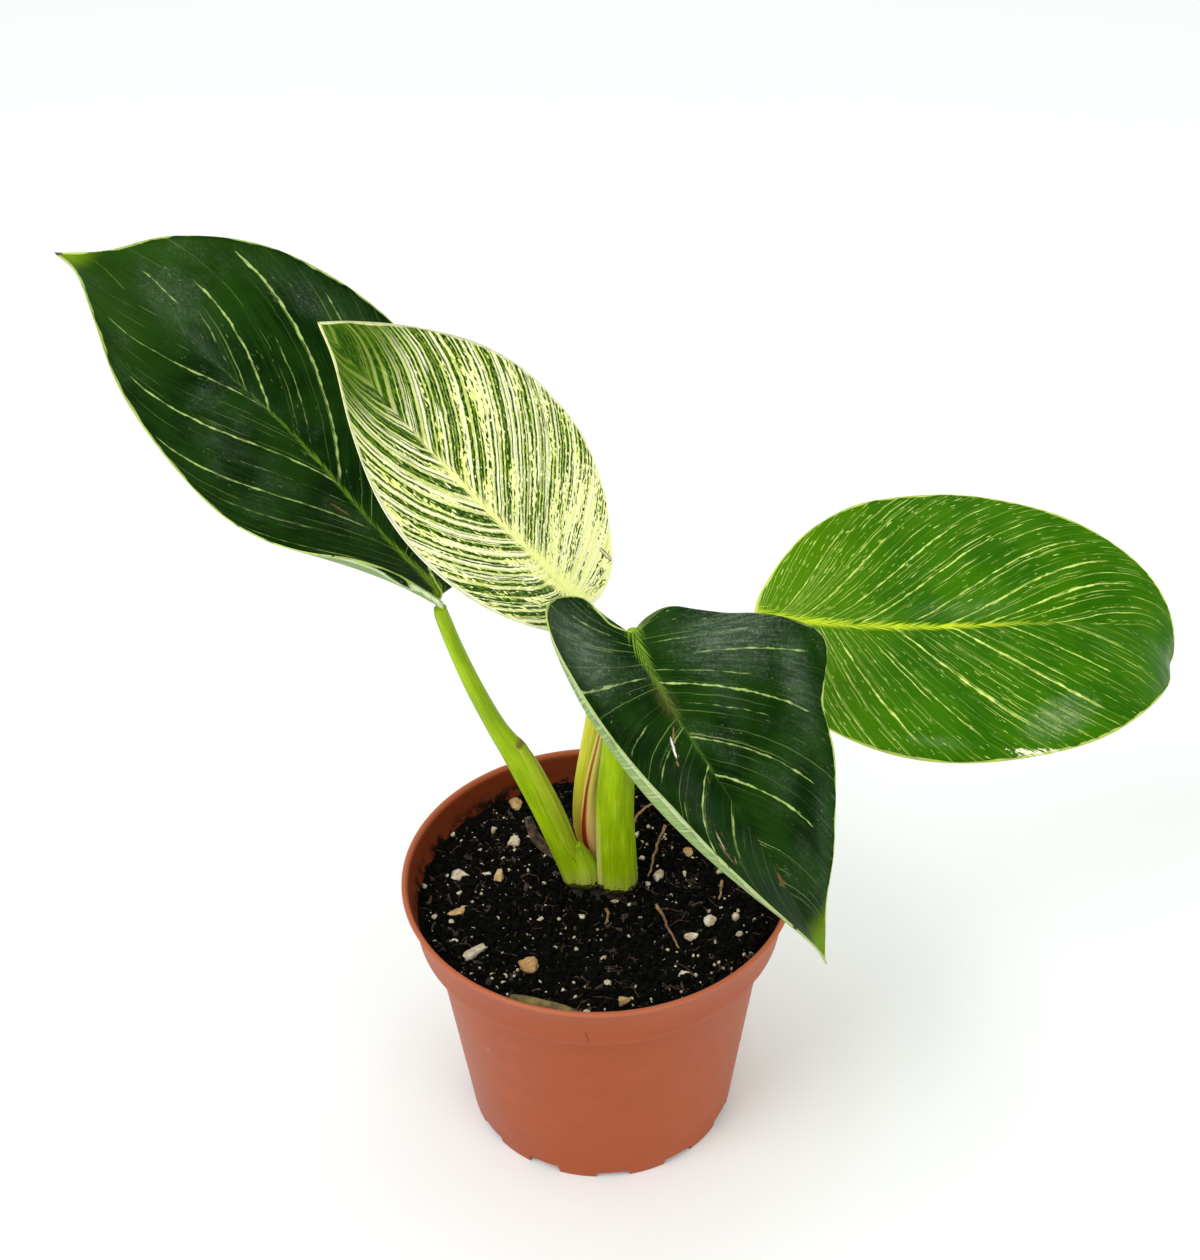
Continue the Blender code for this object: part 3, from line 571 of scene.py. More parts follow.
def blade_piece(name, key, finishes):
    """A blade with an upper and an under face, a rounded margin and a raised midrib below."""
    surface = Surface(BLADES[key])
    rows, columns = BLADE_ROWS, BLADE_COLUMNS
    table = np.linspace(0, 1, 4001)
    first = np.interp(np.linspace(0, 1, rows + 1), 0.45 * table ** ROW_LEAN + 0.55 * table, table)
    reach = np.linspace(0, 1, columns + 1)
    reach = 0.35 * reach ** 1.6 + 0.65 * reach
    grids = {side: surface.measures(side, first, reach) for side in surface.halves}

    # The two halves share the midrib's points; the petiole is point 0 and the tip is point 1.
    wide = 2 * columns + 1
    count = 2 + (rows - 1) * wide
    numbers = {}
    for side in grids:
        numbers[side] = (2 + (np.arange(rows + 1)[:, None] - 1) * wide + columns
                         + side * np.arange(columns + 1)[None])
        numbers[side][0], numbers[side][-1] = 0, 1
    flat_x, flat_y = np.zeros(count), np.zeros(count)
    middle, out = np.zeros((count, 3)), np.zeros((count, 3))
    for side, grid in grids.items():
        x, y = grid["place"]
        points, normals = surface.hem(side, grid["vein"][0][:, 0], surface.at(x, y), surface.normal(x, y))
        at = numbers[side]
        flat_x[at], flat_y[at], middle[at], out[at] = x, y, points, normals
    rim = surface.from_edge(flat_x, flat_y)
    thick = EDGE_THICKNESS + (MIDDLE_THICKNESS - EDGE_THICKNESS) * np.clip(rim / 9.0, 0, 1)
    off = flat_y - surface.wander(np.clip(flat_x, 0, surface.length))
    down = np.clip(1 - flat_x / surface.length, 0, 1) ** 0.7
    inner = down * np.clip(rim / 2.0, 0, 1)
    rib = 1.5 * inner * np.exp(-(off / (0.6 + 1.6 * down)) ** 2)
    groove = 0.35 * inner * np.exp(-(off / 1.3) ** 2)
    top = middle + out * (thick / 2 - groove)[:, None]
    low = middle - out * (thick / 2 + rib)[:, None]

    # Every face is a list of corners: point number, side, row and column.
    def corner(side, row, column, shift=0):
        return int(numbers[side][row, column]) + shift, side, row, column

    faces, lower = [], []
    for side in grids:
        for row in range(rows):
            for column in range(columns):
                ring = [(row, column), (row + 1, column), (row + 1, column + 1), (row, column + 1)][::-side]
                held = {}
                for place in ring:
                    held.setdefault(numbers[side][place], place)
                faces.append([corner(side, *place) for place in held.values()])
                faces.append([corner(side, *place, count) for place in reversed(held.values())])
                lower += [0, 1]
    loop = [(-1, row, columns) for row in range(rows + 1)]
    loop += [(1, row, columns) for row in range(rows - 1, 0, -1)]
    within = {0: (2, 0), rows: (rows - 2, 0)}
    edge = np.array([numbers[side][row, column] for side, row, column in loop])
    inward = np.array([numbers[side][within.get(row, (row, columns - 2))] for side, row, _ in loop])
    centres = (top[edge] + low[edge]) / 2
    edge_points = centres + RIM_BULGE * unit(centres - middle[inward])
    for k, here in enumerate(loop):
        after = (k + 1) % len(loop)
        there = loop[after]
        for shift, order in ((0, 1), (count, -1)):
            faces.append([corner(*here, shift), (2 * count + k, *here), (2 * count + after, *there),
                          corner(*there, shift)][::order])
            lower.append(0)

    mesh = raw_mesh(name, np.vstack([top, low, edge_points]), [[c[0] for c in face] for face in faces])
    mesh.polygons.foreach_set("material_index", np.array(lower, dtype=np.int32))
    _, sides, at_row, at_column = np.array([c for face in faces for c in face]).T
    which = (sides + 1) // 2, at_row, at_column

    def at_corners(label, k):
        return np.stack([grids[-1][label][k], grids[1][label][k]])[which]

    for label in ("vein", "flat", "weave"):
        data = np.stack([at_corners(label, k) for k in range(3)], -1)
        mesh.attributes.new(label, "FLOAT_VECTOR", "CORNER").data.foreach_set("vector", data.ravel())
    widest = max(half.width for half in surface.halves.values()) + 2.0
    under = np.repeat(lower, [len(face) for face in faces])
    across = 0.012 + 0.476 * (at_corners("place", 1) + widest) / (2 * widest) + 0.5 * under
    along = 0.01 + 0.98 * (at_corners("place", 0) + 12.0) / (surface.length + 14.0)
    mesh.uv_layers.new(name="OFBake").data.foreach_set("uv", np.stack([along, across], -1).ravel())
    for finish in finishes:
        mesh.materials.append(finish)
    turn_out(mesh, False)
    mesh.shade_smooth()
    return place_object(name, mesh)


# ---- blade finishes ---------------------------------------------------------------------------
class BladeFinish(Finish):
    """A blade's material, with the blade's own measures to hand."""

    def __init__(self, name):
        super().__init__(name)
        self.vein, self.reach, spread = self.read("vein")
        self.along, self.off, self.rim = self.read("flat")
        self.run, self.across, self.side = self.read("weave")
        self.flat = self.point(self.along, self.across, self.side)
        waver, jag = self.cloud(self.flat, 0.16, 1.0) - 0.5, self.cloud(self.flat, 2.6, 1.0) - 0.5
        self.spread = spread + (waver * 0.8 + jag * 0.28)

    def read(self, name):
        return self.split(self.value("ShaderNodeAttribute", out="Vector", attribute_name=name))

    @cached_property
    def speckle(self):
        return self.cloud(self.flat, 0.9, 3.0) - 0.5

    @cached_property
    def scuffs(self):
        """Fine scratches and water marks, strongest in small patches."""
        fine = self.cloud(self.flat, 2.4, 4.0, 0.75).ramp(0.5, 0.68)
        drawn = self.cloud(self.point(self.along * 0.5, self.across * 3.0), 1.0, 3.0, 0.7)
        return self.either(fine, drawn.ramp(0.56, 0.66))

    def streaks(self, width, length, level, softness=0.05, seed=0.0):
        return self.group(vein_streaks, spread=self.spread, run=self.run, width=width, length=length,
                          level=level, softness=softness, seed=seed)

    def lines(self, spacing, width, seed=0.0):
        return self.group(vein_lines, spread=self.spread, spacing=spacing, width=width, seed=seed)

    def margin(self, width):
        return self.group(blade_margin, rim=self.rim, width=width, flat=self.flat)

    def haze(self, size, level, seed=0.0):
        return self.group(haze_patches, flat=self.flat, size=size, level=level, seed=seed)

    def midrib(self, width, fade_from, fade_to, solid=0.8, foot=0.0):
        """The coloured midrib, broad at the petiole, its fibres slanting off into the veins."""
        away = abs(self.off)
        broad = self.along.ramp(-6.0, 26.0, 1.0, 0.0)
        narrow = self.along.ramp(0.0, fade_to, width, width * 0.25) + broad * broad * foot
        slant = self.along - away * 3.0
        grain = self.cloud(self.point(slant * 0.8, self.side * 5.0, self.along * 0.08), 1.0, 2.0)
        limit = narrow * (grain.ramp(0.38, 0.62) + 0.35)
        near = away.ramp(limit * 0.3, limit, 1.0, 0.0)
        return near * self.along.ramp(fade_from, fade_to, 1.0, 0.0) * grain.ramp(0.42, 0.56, solid, 1.0)

    def spot(self, x, y, long, wide, turn=0.0, ragged=0.5, soft=0.3):
        """An oval mark at a place on the flat pattern, in mm."""
        c, s = math.cos(math.radians(turn)), math.sin(math.radians(turn))
        right, up = self.along - x, self.across - y
        u = right * (c / long) + up * (s / long)
        v = up * (c / wide) - right * (s / wide)
        away = (u * u + v * v).root() + self.speckle * (ragged * 2)
        return away.ramp(1.0 - soft, 1.0, 1.0, 0.0)

    def marked(self, colour, marks):
        return self.coats(colour, *((self.spot(*oval), tint) for *oval, tint in marks))

    def veiled(self, colour, sheens, tint):
        """The colour under soft painted sheens for the lights' reflections, broken along the veins and by the
        scuffs.
        """
        broken = (self.scuffs.ramp(0.0, 1.0, 0.55, 1.6)
                  * self.streaks(1.1, 8.0, 0.4, 0.25, 23.0).ramp(0.0, 1.0, 0.55, 1.15))
        return self.coats(colour, *((self.spot(*oval, 0.35, 0.95) * broken * strength, tint)
                                    for *oval, strength in sheens))

    def stripes(self, key, listed):
        """The blade's strongest stripes: side, start on the midrib in mm, width, from, to."""
        surface = Surface(BLADES[key])
        wobble = (self.cloud(self.flat, 0.5, 1.0) - 0.5) * 0.4
        swell = self.cloud(self.flat, 0.3, 2.0).ramp(0.35, 0.7, 0.6, 1.7)
        masks = []
        for side, start, width, low, high in listed:
            vein = surface.vein_starts(side, start / surface.length)
            where = side * float(np.interp(vein, *surface.vein_spread(side)))
            mask = self.group(pale_stripe, spread=self.spread, reach=self.reach, wobble=wobble, swell=swell,
                              where=where, width=0.75 * width, start=low - 0.08, stop=high)
            masks.append(mask * min(1.0, 0.3 + width))
        return self.either(*masks) * self.cloud(self.flat, 0.22, 1.0).ramp(0.32, 0.5, 0.5, 1.0)

    def relief(self, spacing, depth):
        """Shallow channels along the side veins and a fine leaf grain."""
        channel, _ = self.lines(spacing, spacing * 0.7, 2.0)
        return self.bump(self.cloud(self.flat, 1.2, 2.0, 0.5), 0.00005,
                         Normal=self.bump(1.0 - channel, depth))

    def end_green(self, colour, haze):
        return self.feed(Base_Color=colour, Roughness=haze.ramp(0.0, 1.0, 0.36, 0.6),
                         Normal=self.relief(6.0, 0.00016), Specular_IOR_Level=0.03)


# Strong stripes: side, start on the midrib in mm, width, and from where to where on the reach.
DARK_LEFT = [(-1, 9, 0.54, 0.35, 0.95), (-1, 26, 0.66, 0.12, 0.9), (-1, 47, 0.72, 0.02, 0.88),
             (-1, 76, 0.54, 0.05, 0.85), (-1, 17, 0.36, 0.3, 0.9), (-1, 36, 0.3, 0.1, 0.5),
             (1, 46, 0.9, 0.06, 0.97), (1, 76, 0.72, 0.02, 0.75), (1, 58, 0.36, 0.1, 0.55),
             (1, 30, 0.48, 0.2, 0.95), (1, 100, 0.5, 0.45, 0.8), (1, 90, 0.3, 0.1, 0.5)]
DARK_FRONT = [(-1, 8, 0.6, 0.3, 0.93), (-1, 16, 0.72, 0.05, 0.92), (-1, 33, 0.54, 0.02, 0.85),
              (-1, 45, 0.72, 0.0, 0.8), (-1, 4, 0.42, 0.1, 0.8), (-1, 22, 0.36, 0.1, 0.6),
              (-1, 12, 0.36, 0.05, 0.6),
              (1, 14, 0.72, 0.1, 0.85), (1, 4, 0.42, 0.3, 0.8), (1, 23, 0.48, 0.25, 0.6),
              (1, 30, 0.6, 0.0, 0.5), (1, 36, 0.48, 0.45, 0.8), (1, 42, 0.72, 0.02, 0.75),
              (1, 54, 0.6, 0.15, 0.5), (1, 1.5, 0.54, 0.55, 0.9)]
BRIGHT_RIGHT = [(-1, 67, 0.68, 0.0, 0.85), (-1, 56, 0.62, 0.0, 0.9), (-1, 44, 0.56, 0.1, 0.9),
                (-1, 30, 0.56, 0.05, 0.9), (-1, 20, 0.62, 0.05, 0.8), (-1, 84, 0.43, 0.1, 0.8),
                (-1, 12, 0.62, 0.05, 0.7), (-1, 6, 0.56, 0.05, 0.8), (-1, 100, 0.31, 0.2, 0.8),
                (1, 41, 0.81, 0.05, 0.85), (1, 58, 0.93, 0.02, 0.92), (1, 22, 0.68, 0.1, 0.95),
                (1, 74, 0.56, 0.05, 0.7), (1, 90, 0.43, 0.1, 0.8), (1, 32, 0.5, 0.2, 0.9),
                (1, 12, 0.5, 0.3, 0.9), (1, 50, 0.37, 0.2, 0.9)]
# Painted sheens on the upper faces, for the lights' reflections: x, y, half length, half width, turn,
# strength.
LEFT_SHEENS = [(116, 4, 28, 13, 12, 0.12), (76, -22, 16, 8, -16, 0.14), (100, -2, 14, 4, 0, 0.14),
               (92, 33, 34, 9, -15, 0.12), (70, -30, 7, 4, 20, 0.14)]
FRONT_SHEENS = [(10, -26, 20, 22, 20, 0.64), (6, 20, 14, 16, 0, 0.64), (34, -38, 24, 8, 8, 0.36),
                (74, -26, 22, 6, 32, 0.14), (48, 12, 16, 9, 20, 0.1), (26, -16, 18, 7, 0, 0.12)]
BRIGHT_SHEENS = [(84, 33, 17, 8, -28, 0.5), (139, 0, 6, 14, 0, 0.55), (50, 43, 12, 3, 0, 0.2),
                 (62, -6, 24, 5, 0, 0.16)]
# Scars: x, y, half length, half width, turn, tint.
LEFT_MARKS = [(155.5, 0, 2.2, 1.6, 0, (96, 84, 44)), (40, -6, 4, 0.3, -24, (120, 96, 48))]
FRONT_MARKS = [(30.5, 4.6, 3.2, 0.35, 40, (128, 108, 60)), (33.5, 7.2, 4.2, 0.75, 24, (96, 72, 48)),
               (33.5, 7.2, 3.8, 0.45, 24, (238, 234, 228)), (37.4, 9.2, 0.9, 0.4, 24, (150, 110, 60)),
               (59, 14.8, 3.2, 0.5, 28, (168, 156, 140)), (62, 17.0, 3.4, 0.7, 12, (112, 92, 66)),
               (65, 15.4, 1.6, 0.4, 60, (130, 112, 84)), (78.5, 0.8, 2.6, 1.0, 10, (110, 80, 40)),
               (79.0, 1.2, 0.9, 2.2, 10, (96, 78, 40)), (105.0, 0, 1.4, 1.2, 0, (120, 88, 60))]
CREAM_MARKS = [(-3.5, 18.3, 4.2, 0.8, 3, (104, 84, 52)), (-3.5, 18.3, 3.6, 0.4, 3, (236, 228, 190)),
               (118.2, 0, 0.9, 0.6, 0, (120, 84, 46)), (40.5, 1.0, 2.4, 0.3, 25, (120, 110, 40))]
# What a dark blade has besides its stripes, sheens and marks: where the ground turns greener and where
# its point begins, in mm along the midrib, then the midrib's width, length, solidity, extra width at the
# foot, fade in mm and two tints.
DarkLook = namedtuple("DarkLook", "stripes sheens marks greener point width length solid foot fade base end")
DARK_LOOKS = {
    "left": DarkLook(DARK_LEFT, LEFT_SHEENS, LEFT_MARKS, 95.0, 143.0, 1.6, 112.0, 0.25, 3.4, 36.0,
                     (120, 154, 22), (96, 132, 36)),
    "front": DarkLook(DARK_FRONT, FRONT_SHEENS, FRONT_MARKS, 78.0, 91.0, 1.9, 62.0, 0.2, 1.5, 30.0,
                      (112, 148, 40), (70, 106, 30)),
}


def dark_blade(name, key):
    """The upper face of a dark blade: deep green, with thin pale lines, scuffs, dust and soft painted sheens.
    """
    b = BladeFinish(name)
    look = DARK_LOOKS[key]
    ground = b.coats(
        b.mix(b.cloud(b.flat, 0.05, 3.0).ramp(0.35, 0.65), (4, 32, 0), (22, 54, 6)),
        (b.streaks(0.6, 18.0, 0.45, 0.25, 1.0) * 0.3, (38, 72, 12)),
        (b.along.ramp(look.greener, look.greener + 40.0) * 0.35, (46, 84, 8)),
        (b.along.ramp(look.point, look.point + 9.0, 0.0, 0.9), (108, 140, 16)))
    near = b.run.ramp(2.0, 26.0, 1.0, 0.5)
    thin, chance = b.lines(5.0, 0.34, 4.0)
    thin = (thin * chance.ramp(0.2, 0.95, 0.1, 0.8) * b.streaks(5.0, 30.0, 0.40, 0.14, 7.0) * near
            * b.along.ramp(look.greener, look.greener + 20.0, 1.0, 0.4))
    faint, chance = b.lines(2.1, 0.24, 11.0)
    faint = faint * chance.ramp(0.5, 0.9) * b.streaks(2.2, 12.0, 0.50, 0.1, 13.0) * near
    dashes = b.streaks(0.45, 2.4, 0.7, 0.05, 5.0) * b.streaks(9.0, 30.0, 0.52, 0.1, 9.0)
    pale = b.either(b.stripes(key, look.stripes), thin * 0.8, faint * 0.45, dashes * 0.5)
    rib = b.mix(b.along.ramp(0.0, look.fade), look.base, look.end)
    colour = b.coats(
        ground, (pale, b.mix(b.cloud(b.flat, 0.3, 1.0), (110, 150, 60), (198, 218, 134))),
        (b.midrib(look.width, look.length * 0.5, look.length, look.solid, look.foot), rib))
    # Painted sheens: grey green where the lights would be reflected.
    colour = b.veiled(colour, look.sheens, (116, 136, 112))
    # Random patches of grey dust and painted sheen; they also make the face rougher.
    haze = b.haze(22.0, 0.5, 3.0)
    edge = b.margin(b.cloud(b.flat, 0.09, 1.0).ramp(0.4, 0.6, 0.35, 0.85))
    tinge = 0.0
    if key == "front":
        bare = b.side.ramp(-0.5, 0.5, 1.0, 0.0) * b.vein.ramp(0.4, 0.5, 1.0, 0.0)
        edge = edge * (1.0 - bare * 0.85)
        tinge = b.spot(22.0, 0.5, 10.0, 4.5, 0.0, 0.5, 0.95) * 0.45
    colour = b.coats(colour, (haze * b.scuffs.ramp(0.0, 1.0, 0.05, 0.42), (122, 140, 118)),
                     (edge, (184, 206, 112)), (tinge, (92, 90, 44)))
    return b.end_green(b.marked(colour, look.marks), haze)


def bright_blade(name):
    """The upper face of the bright green blade: many fine pale stripes and dashes."""
    b = BladeFinish(name)
    ground = b.coats(
        b.mix(b.cloud(b.flat, 0.045, 3.0).ramp(0.35, 0.65), (37, 90, 0), (53, 106, 0)),
        (b.along.ramp(4.0, 50.0, 1.0, 0.0) * 0.6, (92, 140, 0)),
        (b.streaks(0.6, 22.0, 0.45, 0.25, 1.0) * 0.4, (76, 122, 0)))
    left = b.side.ramp(-0.5, 0.5, 1.0, 0.0)
    thick = b.vein.ramp(0.5, 0.85, 1.0, 0.0) * left.ramp(0.0, 1.0, 0.5, 1.0)
    dashes = b.streaks(0.46, 4.0, 0.715 - thick * 0.05, 0.04, 5.0)
    thin, chance = b.lines(2.7, 0.42, 4.0)
    swell = b.streaks(2.5, 7.0, 0.4, 0.3, 17.0).ramp(0.0, 1.0, 0.4, 1.0)
    thin = thin * chance.ramp(0.15, 0.85, 0.1, 0.95) * b.streaks(3.0, 26.0, 0.40, 0.1, 7.0) * swell
    fine, chance = b.lines(1.2, 0.26, 14.0)
    low = 0.52 - b.along.ramp(0.0, 44.0, 1.0, 0.0) * 0.2
    fine = fine * chance.ramp(0.2, 0.6) * b.streaks(1.3, 9.0, low, 0.06, 3.0)
    pale = b.either(b.stripes("right", BRIGHT_RIGHT), dashes * 0.8, thin, fine * 0.45)
    tone = b.mix(b.cloud(b.flat, 0.4), (168, 206, 52), (238, 246, 152))
    colour = b.coats(ground, (pale * b.along.ramp(100.0, 130.0, 1.0, 0.45), tone),
                     (b.midrib(2.8, 58.0, 104.0, 0.4, 4.2), (192, 214, 44)),
                     (b.margin(0.8), (196, 214, 98)))
    # Painted sheens: grey green where the lights would be reflected.
    colour = b.veiled(colour, BRIGHT_SHEENS, (150, 170, 122))
    # Random patches of grey dust and painted sheen; they also make the face rougher.
    haze = b.haze(24.0, 0.56, 6.0)
    torn = b.spot(77.0, 45.0, 9.0, 2.0, 4.0, 0.9) * b.streaks(0.6, 4.0, 0.42, 0.1, 51.0)
    colour = b.coats(colour, (haze * b.scuffs.ramp(0.0, 1.0, 0.02, 0.14), (150, 172, 122)),
                     (torn, (242, 242, 200)))
    return b.end_green(colour, haze)


def cream_blade(name):
    """The upper face of the variegated blade: cream, finely lined with broken green between the veins."""
    b = BladeFinish(name)
    right = b.side.ramp(-0.5, 0.5)
    bare = right * b.along.ramp(10.0, 36.0, 1.0, 0.0) * 0.11
    core = b.along - abs(b.off) * 0.9
    solid = core.ramp(78.0, 100.0)
    lime = b.streaks(2.6, 12.0, bare + 0.45, 0.16, 7.0)
    crowd = b.streaks(3.4, 22.0, bare + 0.36, 0.14, 2.0)
    level = bare + 0.585 - crowd * 0.18 - core.ramp(54.0, 86.0, 0.0, 0.22)
    rows, _ = b.lines(1.1, 1.0, 3.0)
    dark = b.either(rows * b.streaks(1.0, 2.0, level, 0.03, 41.0),
                    b.streaks(0.8, 1.7, level, 0.03, 5.0) * rows.ramp(0.0, 0.4, 0.3, 1.0))
    deep = b.streaks(0.6, 1.8, 0.43, 0.08, 31.0)
    strong, chance = b.lines(4.8, 1.1, 4.0)
    strong = strong * chance.ramp(0.1, 0.2) * b.streaks(5.0, 30.0, 0.33, 0.1, 15.0)
    medium, chance = b.lines(2.3, 0.5, 6.0)
    medium = medium * chance.ramp(0.2, 0.3) * b.streaks(2.4, 12.0, 0.44, 0.1, 19.0)
    glow = b.spot(12.0, -5.0, 24.0, 8.0, -10.0, 0.3, 0.9)
    wide = b.along.ramp(30.0, 114.0, right.ramp(0.0, 1.0, 1.6, 0.8), right.ramp(0.0, 1.0, 0.6, 0.7))
    colour = b.coats(
        b.mix(lime, (252, 253, 178), (233, 243, 138)), (solid, (186, 208, 70)),
        (dark, b.mix(deep, (92, 130, 0), (26, 62, 0))),
        (solid * 0.74, b.mix(b.cloud(b.flat, 0.1).ramp(0.35, 0.65), (34, 72, 4), (66, 102, 12))),
        (b.either(strong, medium) * core.ramp(70.0, 92.0, 1.0, 0.15),
         b.mix(solid, (252, 253, 206), (226, 238, 132))),
        (b.either(b.midrib(5.0, 56.0, 88.0, 0.85, 1.8), glow * 0.85), (249, 253, 160)),
        (b.margin(wide), b.mix(b.along.ramp(60.0, 112.0), (250, 248, 208), (232, 234, 168))))
    return b.feed(Base_Color=b.marked(colour, CREAM_MARKS), Normal=b.relief(3.1, 0.00012),
                  Roughness=b.cloud(b.flat, 0.08, 2.0).ramp(0.3, 0.7, 0.4, 0.5), Specular_IOR_Level=0.06)


def under_blade(name, ground, vein):
    """The matt under face of a blade, with its side veins showing pale."""
    b = BladeFinish(name)
    shade = (*(value * 0.72 for value in paint(*ground)[:3]), 1.0)
    veins, chance = b.lines(6.0, 0.8, 2.0)
    veins = veins * chance.ramp(0.2, 0.7)
    fine, _ = b.lines(1.3, 0.5, 6.0)
    colour = b.coats(b.mix(b.cloud(b.flat, 0.07, 3.0), ground, shade),
                     (b.streaks(0.5, 9.0, 0.48, 0.2, 4.0) * 0.3, vein),
                     (b.either(veins * 0.55, fine * 0.25), vein), (b.midrib(2.6, 110.0, 170.0), vein),
                     (b.margin(1.0), (214, 228, 180)))
    return b.feed(Base_Color=colour, Normal=b.bump(b.either(veins, fine * 0.3), 0.0004),
                  Roughness=b.cloud(b.flat, 0.3, 2.0).ramp(0.3, 0.7, 0.5, 0.62), Specular_IOR_Level=0.2)


# ---- stalks -----------------------------------------------------------------------------------
def stalk(name, stations, section, finish, steps=70, sides=40):
    """A closed stalk through its stations (x, y, z, half width, half depth).

    section(turn, f) gives how far out the skin lies, in parts of the half width and half depth.
    """
    held = through(stations, steps)
    centres = held[:, :3]
    along = unit(np.gradient(centres, axis=0))
    depth = unit(np.cross(along, (1.0, 0.0, 0.0)))
    width = np.cross(depth, along)
    turn = circle(sides)
    rings = []
    for k in range(steps + 1):
        reach = section(turn, k / steps)
        rings.append(centres[k] + (held[k, 3] * reach * np.cos(turn))[:, None] * width[k]
                     + (held[k, 4] * reach * np.sin(turn))[:, None] * depth[k])
    points = np.vstack([centres[:1], *rings, centres[-1:]])
    obj = link_mesh(name, points, closed_skin(steps + 1, sides), finish)
    mesh = obj.data
    run = run_along(centres)
    mesh.uv_layers.new(name="grain")
    wrap = mesh.attributes.new("wrap", "FLOAT_VECTOR", "CORNER")
    sheet = mesh.uv_layers["grain"]
    girth = 2 * np.pi * float(held[:, 3].mean())
    for face in mesh.polygons:
        seen = [mesh.loops[k].vertex_index - 1 for k in face.loop_indices]
        turns = [v % sides for v in seen if 0 <= v < (steps + 1) * sides]
        wraps = max(turns) - min(turns) > sides // 2
        for k, v in zip(face.loop_indices, seen):
            row, place = divmod(v, sides)
            if not 0 <= row <= steps:
                row, place = max(0, min(row, steps)), turns[0]
            elif wraps and place < sides // 2:
                place += sides
            sheet.data[k].uv = (place / sides * girth / 10.0, run[row] / 10.0)
            angle = 2 * math.pi * place / sides
            wrap.data[k].vector = (math.cos(angle), math.sin(angle), row / steps)
    return obj


class StalkFinish(Finish):
    """A stalk's material, with how far round (in cm, and from -pi to pi) and how far up it a place is."""

    def __init__(self, name):
        super().__init__(name)
        self.around, self.along, _ = self.split(self.value("ShaderNodeUVMap", uv_map="grain"))
        x, y, self.up = self.split(self.value("ShaderNodeAttribute", out="Vector", attribute_name="wrap"))
        self.turn = self.sum("ARCTAN2", y, x)

    def grain(self, around, along, seed=0.0, detail=2.0, rough=0.5):
        """Noise stretched along the stalk."""
        return self.cloud(self.point(self.around * around, self.along * along, seed), 1.0, detail, rough)


def stalk_finish(name, low, high, pale, flush=None, wing=False, edge=False):
    """Fleshy green stalk skin: lengthwise fibres, small scars and a stained, torn foot."""
    b = StalkFinish(name)
    turn, up, along = b.turn, b.up, b.along
    fibres = b.grain(26.0, 0.7, 0.0, 3.0, 0.6)
    broad = b.grain(3.0, 0.5, 4.0)
    layers = [(fibres.ramp(0.5, 0.7) * 0.5, pale),
              (b.grain(16.0, 4.5, 9.0).ramp(0.68, 0.74) * 0.6, (212, 218, 140))]
    if flush:
        layers.append((up.ramp(0.05, 0.42, 0.75, 0.0) * broad.ramp(0.3, 0.6, 0.5, 1.0), flush))
    if edge:
        layers.append((turn.band(-2.86, 0.3, 0.2) * up.ramp(0.1, 0.3, 0.6, 0.0), (216, 210, 128)))
    if wing:
        bow = b.sum("SINE", (up - WING_FOOT) * (math.pi / WING_SPAN))
        past = turn - (WING_TURN - bow * WING_BOW)
        here = up.ramp(WING_TOP, WING_TOP + 0.012, 1.0, 0.0) * up.ramp(0.03, 0.12)
        cover = here * past.ramp(0.0, 0.1) * turn.ramp(0.5, 0.8, 1.0, 0.0)
        streak = b.either(past.band(0.5, 0.06, 0.05) * 0.4, past.band(0.86, 0.12, 0.1))
        layers += [(cover * 0.25, (190, 190, 60)), (here * past.band(0.0, 0.07, 0.06) * 0.25, (84, 98, 20)),
                   (cover * streak * fibres.ramp(0.35, 0.6, 0.3, 0.8), (160, 104, 58)),
                   (cover * up.ramp(WING_TOP - 0.016, WING_TOP - 0.004), (118, 110, 44))]
    stain = along + (b.grain(5.0, 5.0, 2.0, 4.0, 0.7) - 0.5) * 1.1
    dots, _ = b.cells(b.point(b.around, along), 9.0)
    layers += [(along.ramp(0.1, 0.9, 0.4, 0.0), (178, 170, 96)),
               (stain.ramp(0.1, 0.2, 0.95, 0.0), (24, 19, 8)),
               (dots.ramp(0.1, 0.24, 1.0, 0.0) * along.ramp(0.3, 0.6, 0.8, 0.0), (58, 50, 18))]
    return b.feed(Base_Color=b.coats(b.mix(broad.ramp(0.35, 0.65), low, high), *layers),
                  Roughness=fibres.ramp(0.3, 0.7, 0.32, 0.46), Normal=b.bump(fibres, 0.0004, 0.7),
                  Specular_IOR_Level=0.18)


def sheath_finish(name):
    """The young sheath: salmon at its foot, olive tan above, with a dark red left edge."""
    b = StalkFinish(name)
    turn, up = b.turn, b.up
    fibres = b.grain(26.0, 0.6, 0.0, 3.0)
    height = up + (fibres - 0.5) * 0.3
    red = b.either(turn.band(-2.35, 0.48, 0.24) * up.ramp(0.2, 0.5, 1.0, 0.0),
                   turn.band(-2.35, 0.28, 0.12) * up.ramp(0.3, 0.9, 1.0, 0.8))
    colour = b.coats(
        b.mix(height.ramp(0.12, 0.5), (252, 196, 138), (214, 198, 96)),
        (fibres.ramp(0.5, 0.7) * 0.35, (236, 216, 140)),
        (turn.band(-1.3, 0.55, 0.5) * height.ramp(0.25, 0.6, 0.0, 0.7), (140, 134, 40)),
        (turn.band(-2.2, 0.9, 0.8) * height.ramp(0.0, 0.4, 0.75, 0.0), (214, 104, 52)),
        (red, b.mix(up.ramp(0.1, 0.3), (172, 36, 18), (146, 44, 14))))
    return b.feed(Base_Color=colour, Roughness=fibres.ramp(0.3, 0.7, 0.36, 0.5),
                  Normal=b.bump(fibres, 0.0004, 0.6), Specular_IOR_Level=0.2)


